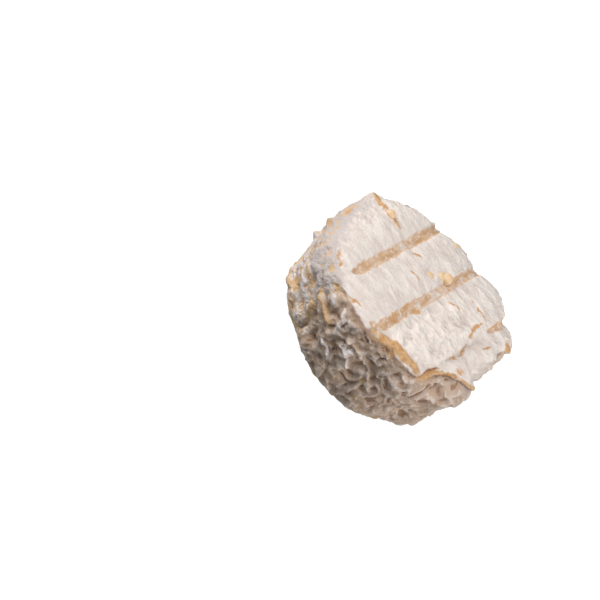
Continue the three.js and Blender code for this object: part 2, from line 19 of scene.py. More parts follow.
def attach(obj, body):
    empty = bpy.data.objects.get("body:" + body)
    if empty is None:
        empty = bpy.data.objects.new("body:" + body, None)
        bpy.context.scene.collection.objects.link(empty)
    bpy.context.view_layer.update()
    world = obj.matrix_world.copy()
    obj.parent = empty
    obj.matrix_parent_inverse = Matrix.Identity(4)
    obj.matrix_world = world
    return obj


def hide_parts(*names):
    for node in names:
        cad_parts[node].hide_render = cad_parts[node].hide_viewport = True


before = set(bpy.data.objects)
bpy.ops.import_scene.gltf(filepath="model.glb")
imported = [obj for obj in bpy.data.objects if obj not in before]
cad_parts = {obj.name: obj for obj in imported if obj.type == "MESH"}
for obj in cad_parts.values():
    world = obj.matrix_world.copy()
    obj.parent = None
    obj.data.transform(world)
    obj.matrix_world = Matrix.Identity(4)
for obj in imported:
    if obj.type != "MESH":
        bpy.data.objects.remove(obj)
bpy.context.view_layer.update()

MM = 0.001
NODE = "cheese"
BODY = "root"

log = logging.getLogger("goat_cheese")

Span = tuple[float, float]
Path = tuple[tuple[float, float, float], ...]


def blend(share: np.ndarray, start: np.ndarray | float, end: np.ndarray | float = 1.0) -> np.ndarray:
    """Goes from one value to another.

    Args:
        share: How much of the way is done, from 0 to 1.
        start: The value at 0.
        end: The value at 1.

    Returns:
        The blended values.
    """
    return start + (end - start) * share


def swell(distance: np.ndarray, reach: float) -> np.ndarray:
    """A soft bell: 1 at no distance, and gone at about twice the reach.

    Args:
        distance: Distances.
        reach: The bell's half width.

    Returns:
        The bell's heights.
    """
    return np.exp(-((distance / reach) ** 2))


@dataclass(frozen=True)
class Ramp:
    """A smooth change from start, at low and below, to end, at high and above."""

    low: float
    high: float
    start: float = 0.0
    end: float = 1.0

    def at(self, value: np.ndarray) -> np.ndarray:
        """The ramp's height.

        Args:
            value: Where to look.

        Returns:
            The height at each value.
        """
        share = np.clip((value - self.low) / (self.high - self.low), 0, 1)
        return blend(share * share * (3 - 2 * share), self.start, self.end)


def middle(share: np.ndarray, length: float) -> np.ndarray:
    """1 along a path's middle, sinking to 0 at both of its ends.

    Args:
        share: How much of the path is passed.
        length: The share of the path that each end takes.

    Returns:
        The height at each share.
    """
    return Ramp(0, length).at(share) * Ramp(1 - length, 1, 1, 0).at(share)


class Grain:
    """Patterns in space from a hashed grid: gradient noise and cells."""

    MASK = 1023
    MIDDLE = 511.5
    FIELD_BITS = 10
    GAIN = 1.5
    PRIMES = (0x8DA6B343, 0xD8163841, 0xCB1AB31F, 0x9E3779B1)
    MIXERS = (0x2C1B3C6D, 0x297A2D39)
    SHIFTS = (15, 12, 15)
    WORD = 0xFFFFFFFF

    @classmethod
    def corner(cls, cell: np.ndarray, seed: int) -> np.ndarray:
        """Three numbers from -1 to 1 for each grid corner.

        Args:
            cell: Whole grid places, one row each.
            seed: Which pattern.

        Returns:
            One row of three numbers for each place.
        """
        place = cell.astype(np.int64).astype(np.uint32)
        spread = place * np.array(cls.PRIMES[:3], np.uint32)
        code = spread[:, 0] ^ spread[:, 1] ^ spread[:, 2]
        code = code ^ np.uint32((seed * cls.PRIMES[3]) & cls.WORD)
        for shift, mixer in zip(cls.SHIFTS, cls.MIXERS):
            code = (code ^ (code >> np.uint32(shift))) * np.uint32(mixer)
        code = code ^ (code >> np.uint32(cls.SHIFTS[-1]))
        fields = [(code >> np.uint32(cls.FIELD_BITS * axis)) & np.uint32(cls.MASK) for axis in range(3)]
        return np.stack(fields, 1).astype(float) / cls.MIDDLE - 1

    @classmethod
    def noise(cls, points: np.ndarray, seed: int) -> np.ndarray:
        """Smooth noise from about -1 to 1.

        Args:
            points: Places, one row each, a unit being one grid square.
            seed: Which pattern.

        Returns:
            The noise at each place.
        """
        cell = np.floor(points)
        inside = points - cell
        fade = inside**3 * (inside * (inside * 6 - 15) + 10)
        total = np.zeros(len(points))
        for step in product((0, 1), repeat=3):
            weight = np.prod(np.where(step, fade, 1 - fade), axis=1)
            slope = np.sum(cls.corner(cell + step, seed) * (inside - step), axis=1)
            total += cls.GAIN * weight * slope
        return total

    @classmethod
    def cells(cls, points: np.ndarray, seed: int) -> tuple[np.ndarray, np.ndarray]:
        """Distances to the nearest and the second nearest of scattered points.

        Args:
            points: Places, one row each, a unit being one grid square.
            seed: Which pattern.

        Returns:
            The two distances at each place.
        """
        cell = np.floor(points)
        first = np.full(len(points), np.inf)
        second = np.full(len(points), np.inf)
        for step in product((-1, 0, 1), repeat=3):
            scattered = cell + step + 0.5 + 0.5 * cls.corner(cell + step, seed)
            gap = np.linalg.norm(points - scattered, axis=1)
            second = np.minimum(second, np.maximum(first, gap))
            first = np.minimum(first, gap)
        return first, second


@dataclass(frozen=True)
class Pattern:
    """One pattern in space: its size and reach in millimetres, and its seed."""

    size: float
    seed: int
    reach: float = 1.0
    shift: float = 0.0

    # A fold's back, its crest and a bowl's wall are each a share of the height and a half width.
    BACK = (0.6, 0.36)
    CREST = (0.4, 0.16)
    BOWL_WIDTH = 0.75
    BOWL_POWER = 1.4
    BOWL_RISE = 0.85
    WALL = (0.15, 0.15)
    WALL_TOP = 1.1

    def grid(self, points: np.ndarray) -> np.ndarray:
        """Places on the pattern's own grid, one row for each point."""
        return points / self.size + self.shift

    def noise(self, points: np.ndarray) -> np.ndarray:
        """Smooth noise, from about minus its reach to its reach."""
        return self.reach * Grain.noise(self.grid(points), self.seed)

    def bends(self, points: np.ndarray) -> np.ndarray:
        """Three noises at once, one for each axis, to bend a form or a pattern by."""
        axes = [Grain.noise(self.grid(points), self.seed + axis) for axis in range(3)]
        return self.reach * np.stack(axes, 1)

    def domes(self, points: np.ndarray) -> np.ndarray:
        """Distances from the middles of scattered domes, on the pattern's own grid."""
        return Grain.cells(self.grid(points), self.seed)[0]

    def folds(self, points: np.ndarray) -> np.ndarray:
        """Winding folds: thin crests on broad backs, with hollows between them.

        Args:
            points: Places, one row each.

        Returns:
            Heights from about 0 in the hollows to the pattern's reach on the crests.
        """
        noise = Grain.noise(self.grid(points), self.seed)
        (back, back_reach), (crest, crest_reach) = self.BACK, self.CREST
        return self.reach * (back * swell(noise, back_reach) + crest * swell(noise, crest_reach))

    def bowls(self, points: np.ndarray) -> np.ndarray:
        """Pits that meet in sharp walls.

        Args:
            points: Places, one row each.

        Returns:
            Heights from 0 in the pits to about the pattern's reach on the walls.
        """
        first, second = Grain.cells(self.grid(points), self.seed)
        bowl = self.BOWL_RISE * (first / self.BOWL_WIDTH) ** self.BOWL_POWER
        wall, wall_reach = self.WALL
        return self.reach * np.minimum(bowl + wall * swell(second - first, wall_reach), self.WALL_TOP)


class Route:
    """A path of straight stretches through space."""

    def __init__(self, path: Path) -> None:
        """Keeps the path's stops as rows."""
        self.stops = np.array(path, float)

    def place(self, points: np.ndarray) -> tuple[np.ndarray, np.ndarray]:
        """How far points are from the path.

        Args:
            points: Places, one row each.

        Returns:
            Each place's distance, and the share of the path passed there.
        """
        best = np.full(len(points), np.inf)
        share = np.zeros(len(points))
        stretches = len(self.stops) - 1
        for index in range(stretches):
            start = self.stops[index]
            run = self.stops[index + 1] - start
            along = np.clip((points - start) @ run / (run @ run), 0, 1)
            gap = np.linalg.norm(points - start - along[:, None] * run, axis=1)
            nearer = gap < best
            best = np.where(nearer, gap, best)
            share = np.where(nearer, (index + along) / stretches, share)
        return best, share


@dataclass
class Body:
    """The bare drum: points, outward normals, levels from 0 to 1, and bearings in radians."""

    points: np.ndarray
    normals: np.ndarray
    up: np.ndarray
    bearing: np.ndarray

    def facing(self, degrees: float) -> np.ndarray:
        """How squarely each point faces a bearing, from -1 to 1."""
        return np.cos(self.bearing - math.radians(degrees))


@dataclass
class Skin:
    """The skin's points in millimetres, and the masks that its finish reads."""

    points: np.ndarray
    masks: dict[str, np.ndarray]


@dataclass(frozen=True)
class Groove:
    """A pressed groove: x where it crosses y = 0, its front end and half width.

    The bloom has grown over its floor round veil_y.
    """

    x: float
    front: float
    half: float
    veil_y: float
    veil_reach: float


@dataclass(frozen=True)
class PressedGrooves:
    """The grooves pressed into the face, and the band that sank beyond the third one.

    Its front stretch has closed up into a fold.
    """

    slope: float = 0.085
    depth: float = 0.5
    shoulder_depth: float = 0.9
    shoulder_reach: float = 4.6
    shoulder_front: float = 0.3
    # Each groove's course, edges, floor and ends
    wander: Pattern = Pattern(1.0, 5, 0.3)
    wander_length: float = 6.0
    coarse_edge: Pattern = Pattern(1.6, 6, 0.4)
    fine_edge: Pattern = Pattern(0.9, 8, 0.24)
    patches: Pattern = Pattern(2.6, 7)
    front_length: float = 3.5
    opening_length: float = 7.0
    opening_front: float = 0.35
    wall: Ramp = Ramp(-0.4, 0.4, 1, 0)
    veil_patches: Ramp = Ramp(-0.5, 0.5)
    veil_fill: float = 0.5
    veil_cover: float = 0.85
    hem_inset: float = 0.1
    hem_reach: float = 0.35
    hem_patches: Ramp = Ramp(-0.3, 0.3)
    # The sunk band and its fold
    sunk_depth: float = 2.4
    sunk_front: Ramp = Ramp(-4, 6, 1, 0)
    sunk_across: Ramp = Ramp(0, 10)
    crease_depth: float = 0.9
    crease_reach: float = 1.0
    crease_front: Ramp = Ramp(4, 12, 1, 0)
    valley_depth: float = 1.0
    valley_reach: float = 3.2
    grooves: tuple[Groove, ...] = (
        Groove(-15.2, -24.5, 1.65, 5.5, 2.6),
        Groove(2.8, -32.6, 1.6, 2.0, 11.0),
        Groove(21.6, 11.5, 1.25, 10.0, 2.0),
    )
    fold: Path = (
        (22.6, 12, 40),
        (22.7, 3, 40),
        (21.6, -1, 40),
        (22, -7, 40),
        (20.8, -13.5, 40),
        (21, -18, 40),
        (20, -22, 40),
        (20.2, -26.5, 38),
    )

    def gap(self, points: np.ndarray, groove: Groove) -> np.ndarray:
        """How far points are from a groove's middle line, to its +X side."""
        return points[:, 0] - groove.x - points[:, 1] * self.slope

    def relief(self, points: np.ndarray) -> tuple[np.ndarray, np.ndarray, np.ndarray]:
        """The pressed grooves with their soft shoulders.

        Args:
            points: The body's points.

        Returns:
            The relief, a mask of the grooves' floors and one of their dark hems.
        """
        count = len(points)
        relief, floor, hem = np.zeros(count), np.zeros(count), np.zeros(count)
        y = points[:, 1]
        ragged = self.coarse_edge.noise(points) + self.fine_edge.noise(points)
        patches = self.patches.noise(points)
        for groove in self.grooves:
            lane = np.stack([np.full(count, groove.x), y / self.wander_length, np.zeros(count)], 1)
            gap = self.gap(points, groove) + self.wander.noise(lane)
            along = Ramp(groove.front, groove.front + self.front_length).at(y)
            opening = Ramp(groove.front, groove.front + self.opening_length, self.opening_front)
            past_wall = np.abs(gap) + ragged - groove.half * opening.at(y)
            shoulder = swell(gap, self.shoulder_reach) * blend(along, self.shoulder_front)
            relief -= self.shoulder_depth * shoulder
            channel = along * self.wall.at(past_wall)
            veil = swell(y - groove.veil_y, groove.veil_reach) * self.veil_patches.at(patches)
            relief -= self.depth * channel * (1 - self.veil_fill * veil)
            floor = np.maximum(floor, channel * (1 - self.veil_cover * veil))
            stain = swell(past_wall + self.hem_inset, self.hem_reach) * self.hem_patches.at(patches)
            hem = np.maximum(hem, along * stain)
        return relief, floor, hem

    def fold_relief(self, points: np.ndarray) -> np.ndarray:
        """The third groove's closed front stretch, and the band that sank beyond it.

        Args:
            points: The body's points.

        Returns:
            The relief.
        """
        distance, _ = Route(self.fold).place(points)
        x, y = points[:, 0], points[:, 1]
        stops = np.array(self.fold)[::-1]
        beyond = x - np.interp(y, stops[:, 1], stops[:, 0])
        sunk = self.sunk_depth * self.sunk_front.at(y) * self.sunk_across.at(beyond)
        crease = self.crease_depth * swell(distance, self.crease_reach) * self.crease_front.at(y)
        return -sunk - crease - self.valley_depth * swell(distance, self.valley_reach)


@dataclass(frozen=True)
class Lobe:
    """A stretch of an outline that stands out or in: bearing and spread in degrees.

    It starts at a share of the height, below which there is nothing of it.
    """

    bearing: float
    reach: float
    spread: float
    start: float = -0.15

    def facing(self, bearing: np.ndarray) -> np.ndarray:
        """How squarely bearings, in radians, face the lobe, from 0 to 1."""
        turn = (bearing - math.radians(self.bearing) + math.pi) % (2 * math.pi) - math.pi
        return swell(turn, math.radians(self.spread))


@dataclass(frozen=True)
class Drum:
    """The cheese before any wrinkle: a rounded drum with an uneven outline."""

    height: float = 40.0
    rim_radius: float = 33.5
    foot_radius: float = 30.2
    foot_pressed: float = 1.3
    foot_share: float = 0.10
    widening: Ramp = Ramp(-0.15, 1)
    edge_round: float = 5.5
    edge_crisp: float = 13.0
    crisp_bearing: float = -62.0
    crisp_stretch: Ramp = Ramp(-0.1, 0.8)
    foot_round: float = 3.2
    gather_pull: float = 0.35
    gather_reach: float = 3.4
    gather_up: Ramp = Ramp(0.9, 0.97)
    gather_tilt: Ramp = Ramp(0.35, 0.8)
    lobes: tuple[Lobe, ...] = (
        Lobe(60, 5.3, 17),
        Lobe(37, 5.9, 11),
        Lobe(122, 1.6, 26),
        Lobe(160, 3.2, 24),
        Lobe(215, 2.6, 26),
        Lobe(301, 1.3, 9),
        Lobe(284, -1.6, 9),
        Lobe(325, -3.4, 9),
        Lobe(345.5, 4.4, 5, 0.5),
        Lobe(0, -3.2, 11, 0.2),
    )
    foot_lobes: tuple[Lobe, ...] = (
        Lobe(240, -3.8, 24),
        Lobe(276, -2.2, 24),
        Lobe(340, 1.3, 11),
    )

    def girth(self, bearing: np.ndarray, up: np.ndarray) -> np.ndarray:
        """The drum's radius.

        Args:
            bearing: Bearings from +X, in radians.
            up: How far up the body, from 0 to 1.

        Returns:
            The radius at each bearing and height.
        """
        widening = self.widening.at(up)
        radius = blend(widening, self.foot_radius, self.rim_radius)
        for lobe in self.lobes:
            radius += lobe.reach * lobe.facing(bearing) * Ramp(lobe.start, 1).at(up)
        for lobe in self.foot_lobes:
            radius += lobe.reach * lobe.facing(bearing) * (1 - widening)
        return radius

    def unroll(self, rise: np.ndarray) -> tuple[np.ndarray, np.ndarray]:
        """Takes a sphere's levels to a drum of the cheese's proportions.

        Args:
            rise: Levels on the unit sphere, from -1 to 1.

        Returns:
            How far across the drum each point is, from 0 to 1, and its level, from -1 to 1.
        """
        face_share = self.rim_radius / (2 * (self.rim_radius + self.height))
        share = (1 - rise) / 2
        from_face = np.sqrt(np.clip(share / face_share, 0, 1))
        from_foot = np.sqrt(np.clip((1 - share) / self.foot_share, 0, 1))
        level = 1 - 2 * (share - face_share) / (1 - face_share - self.foot_share)
        return np.minimum(from_face, from_foot), np.clip(level, -1, 1)

    def body(self, directions: np.ndarray, grooves: PressedGrooves) -> Body:
        """The rounded drum, its mesh drawn together at the grooves.

        Args:
            directions: Unit directions, one row each.
            grooves: The grooves that need the finer mesh.

        Returns:
            The body.
        """
        bearing = np.arctan2(directions[:, 1], directions[:, 0])
        across, level = self.unroll(directions[:, 2])
        facing = np.cos(bearing - math.radians(self.crisp_bearing))
        edge = blend(self.crisp_stretch.at(facing), self.edge_round, self.edge_crisp)
        power = np.where(level > 0, edge, self.foot_round)
        squeeze = (across**power + np.abs(level) ** power) ** (-1 / power)
        across = across * squeeze
        level = level * squeeze
        up = (1 + level) / 2
        radius = self.girth(bearing, up)
        outward = across ** (power - 1) / radius
        upward = np.sign(level) * np.abs(level) ** (power - 1) / (self.height / 2)
        cosine, sine = np.cos(bearing), np.sin(bearing)
        normals = np.stack([outward * cosine, outward * sine, upward], 1)
        normals /= np.linalg.norm(normals, axis=1, keepdims=True)
        z = (self.height + self.foot_pressed) * up - self.foot_pressed
        points = np.stack([across * radius * cosine, across * radius * sine, z], 1)
        pull = self.gather_pull * self.gather_up.at(up) * self.gather_tilt.at(normals[:, 2])
        shift = np.zeros(len(points))
        for groove in grooves.grooves:
            gap = grooves.gap(points, groove)
            shift -= pull * gap * swell(gap, self.gather_reach)
        points[:, 0] += shift
        return Body(points, normals, up, bearing)


@dataclass(frozen=True)
class SideWrinkles:
    """The side: a net of ridges round pits, and at the left a heap of floury lumps.

    Bearings are in degrees, and each bearing's ramp is over how squarely a point faces it.
    """

    # The net of ridges and pits, drawn out along the way that the soft skin sagged
    sag_way: tuple[float, float, float] = (0.788, -0.387, -0.478)
    sag_stretch: float = 0.35
    wide_bend: Pattern = Pattern(6.0, 11, 2.2)
    small_bend: Pattern = Pattern(2.2, 14, 0.6)
    pits: Pattern = Pattern(3.9, 21)
    large_folds: Pattern = Pattern(4.4, 22)
    small_folds: Pattern = Pattern(2.3, 23, shift=3.7)
    patches: Pattern = Pattern(5.0, 24)
    pitted: Ramp = Ramp(-0.5, 0.4)
    pit_share: Span = (0.3, 0.9)
    pit_least: float = 0.5
    large_share: float = 0.6
    small_share: Span = (0.36, 0.06)
    net_level: float = 0.8
    # The heap of lumps
    lump_bend: Pattern = Pattern(5.0, 31, 1.5)
    lumps: Pattern = Pattern(4.2, 34)
    lump_width: float = 0.8
    lump_height: float = 1.3
    lump_wrinkles: float = 0.3
    grit: Pattern = Pattern(1.1, 37, 0.4)
    heap_level: float = 0.9
    heap_height: float = 0.7
    heap_bearing: float = -160.0
    heap_edge: Ramp = Ramp(0.5, 0.97)
    # The calmer strips under the rim and at the foot
    rim: Ramp = Ramp(0.885, 0.965, 1, 0)
    rim_share: float = 0.25
    # Painted shadow: the strip just under the rim takes the pit colour, as if the lip shaded it.
    under_rim_shadow: float = 0.75
    foot_calm: Ramp = Ramp(0.05, 0.35, 0.45, 0.9)
    foot: Ramp = Ramp(0.12, 0.5, 1, 0)
    # The veil of flour, with low bumps under it
    veil_bearing: float = -153.0
    veil_edge: Ramp = Ramp(0.55, 0.85)
    veil_up: Ramp = Ramp(0.5, 0.8)
    veil_calm: float = 0.65
    small_bumps: Pattern = Pattern(1.4, 35, 0.4)
    large_bumps: Pattern = Pattern(3.2, 36, 0.7)
    bump_height: float = 0.8
    # What counts as a crest and as a pit, and where dust and bloom lie
    net_crest: Ramp = Ramp(0, 0.45)
    heap_crest: Ramp = Ramp(0, 0.4)
    bump_crest: Ramp = Ramp(-0.5, 0.2)
    # The pit mask from these ramps darkens the hollows: partly the rind's brown, partly painted shade.
    net_pit: Ramp = Ramp(-0.6, -0.25, 1, 0)
    heap_pit: Ramp = Ramp(-0.6, 0, 1, 0)
    bump_pit: Ramp = Ramp(-0.6, 0.1, 1, 0)
    flour_edge: Ramp = Ramp(0.6, 0.88)
    flour_share: float = 0.7
    dust_bearing: float = -115.0
    dust_edge: Ramp = Ramp(0.1, 0.7, 0, 0.3)
    dust_up: Ramp = Ramp(0.45, 0.85)
    heap_dust: Ramp = Ramp(0.3, 0.7, 0.5, 1)
    chalk_up: Ramp = Ramp(0.45, 0.75)
    chalk_spread: float = 12.0
    chalk_calm: float = 0.7

    def heights(self, points: np.ndarray) -> tuple[np.ndarray, np.ndarray, np.ndarray]:
        """The three kinds of relief that the side is made of.

        Args:
            points: The body's points.

        Returns:
            Heights of the net, of the heap of lumps and of the bumps under the veil.
        """
        sag = np.array(self.sag_way)
        drawn = points + self.sag_stretch * (points @ sag)[:, None] * sag
        bent = drawn + self.wide_bend.bends(drawn) + self.small_bend.bends(drawn)
        pits = self.pits.bowls(bent)
        large = self.large_folds.folds(bent)
        small = self.small_folds.folds(bent)
        pitted = self.pitted.at(self.patches.noise(points))
        net = blend(pitted, *self.pit_share) * pits * (self.pit_least + large)
        net += self.large_share * large + blend(pitted, *self.small_share) * small - self.net_level
        rounded = points + self.lump_bend.bends(points)
        lumps = 1 - np.clip(self.lumps.domes(rounded) / self.lump_width, 0, 1) ** 2
        heap = self.lump_height * lumps + self.lump_wrinkles * (pits + small)
        heap += self.grit.noise(points) - self.heap_level
        bumps = self.small_bumps.noise(rounded) + self.large_bumps.noise(rounded)
        return net, heap, bumps

    def relief(self, body: Body) -> tuple[np.ndarray, dict[str, np.ndarray]]:
        """The side's wrinkles, its lumps and the veil of flour under the rim.

        Args:
            body: The bare drum.

        Returns:
            The relief, and masks by name: crests; pits, whose darker colour is partly the rind's brown and
                partly painted shade, with a painted shadow in the strip under the rim; the foot; the heap
                at the left; the dust that lies on the side; and the veil over it, whose powder the finish
                draws darker as painted shade.
        """
        net, heap, bumps = self.heights(body.points)
        left = self.heap_edge.at(body.facing(self.heap_bearing))
        below_rim = self.rim.at(body.up)
        veiled_and_shaded = self.veil_up.at(body.up) * self.veil_edge.at(body.facing(self.veil_bearing))
        calm = blend(below_rim, self.rim_share) * (1 - self.veil_calm * veiled_and_shaded)
        calm *= self.foot_calm.at(body.up) * (1 - self.chalk_calm * self.chalky(body))
        relief = blend(left, net, self.heap_height * heap) * calm + self.bump_height * veiled_and_shaded * bumps
        # The veil's flour, which the finish also draws darker as painted shade.
        flour_and_shade = veiled_and_shaded * self.flour_edge.at(body.facing(self.heap_bearing))
        crest = blend(left, self.net_crest.at(net), self.heap_crest.at(heap))
        powdery = blend(self.flour_share, veiled_and_shaded, flour_and_shade)
        pit_and_shade = blend(left, self.net_pit.at(net), self.heap_pit.at(heap))
        # Painted shadow in the strip under the rim, on top of the pits.
        pit_and_shade = np.maximum(pit_and_shade, self.under_rim_shadow * (1 - below_rim))
        dusty_side = self.dust_up.at(body.up) * self.dust_edge.at(body.facing(self.dust_bearing))
        masks = {
            # No crest colour in the strip under the rim, which keeps that strip darker as painted shade.
            "crest": below_rim * crest * (1 - veiled_and_shaded) + self.bump_crest.at(bumps) * powdery,
            # Under the veil the lows of the bumps take the pit colour, as painted shade.
            "pit_and_shade": blend(veiled_and_shaded, pit_and_shade, self.bump_pit.at(bumps)),
            "foot": self.foot.at(body.up),
            "left": left,
            "dust": np.max([left * self.heap_dust.at(body.up), dusty_side, flour_and_shade], axis=0),
            "veiled_and_shaded": flour_and_shade,
        }
        return relief, masks

    def chalky(self, body: Body) -> np.ndarray:
        """Where the face's bloom runs down the side, under the notch by the flap.

        Args:
            body: The bare drum.

        Returns:
            The share of bloom at each point.
        """
        return self.chalk_up.at(body.up) * swell(np.degrees(body.bearing), self.chalk_spread)


@dataclass(frozen=True)
class FaceWrinkles:
    """Low wrinkles of the face, long across the grooves, strongest in the third band."""

    band_x: tuple[Ramp, Ramp] = (Ramp(3, 8), Ramp(17, 21, 1, 0))
    band_y: tuple[Ramp, Ramp] = (Ramp(-30, -26), Ramp(4, 16, 1, 0))
    wide_bend: Pattern = Pattern(5.0, 41, 1.8)
    small_bend: Pattern = Pattern(1.8, 46, 0.5)
    stretch: float = 2.4
    waves: Pattern = Pattern(2.8, 42, 0.6)
    crumples: Pattern = Pattern(3.4, 44)
    crumple_share: float = 0.4
    fine: Pattern = Pattern(1.3, 43, 0.2)
    strength: float = 0.6
    patches: Pattern = Pattern(9.0, 45, 0.4)
    drapes: Pattern = Pattern(3.2, 47, 1.4)
    band_crumple: float = 0.3
    band_level: float = 0.7
    dips: Ramp = Ramp(-0.25, 0.45, 1, 0)

    def relief(self, points: np.ndarray) -> tuple[np.ndarray, np.ndarray]:
        """The wrinkles' heights.

        Args:
            points: The body's points.

        Returns:
            The relief, and a mask of its dips.
        """
        band = np.ones(len(points))
        for axis, ramps in enumerate((self.band_x, self.band_y)):
            for ramp in ramps:
                band *= ramp.at(points[:, axis])
        bent = points + self.wide_bend.bends(points) + self.small_bend.bends(points)
        long_way = bent * np.array([1 / self.stretch, 1, 1])
        crumpled = self.crumples.bowls(long_way)
        low = self.waves.noise(long_way) + self.crumple_share * crumpled + self.fine.noise(points)
        draped = self.drapes.folds(long_way) + self.band_crumple * crumpled - self.band_level
        relief = (self.strength + self.patches.noise(points)) * low + band * draped
        return relief, self.dips.at(relief)


@dataclass(frozen=True)
class Stroke:
    """A mark along a path: a split, a lip or a fold, with its height and half width.

    Bare skin and powder each show on a share of it.
    """

    path: Path
    height: float
    half: float
    bare: float = 0.0
    powder: float = 0.0


@dataclass(frozen=True)
class Spot:
    """A round hollow, swelling or drop: its middle, half width, height and powder."""

    at: tuple[float, float, float]
    reach: float
    height: float
    powder: float = 0.0


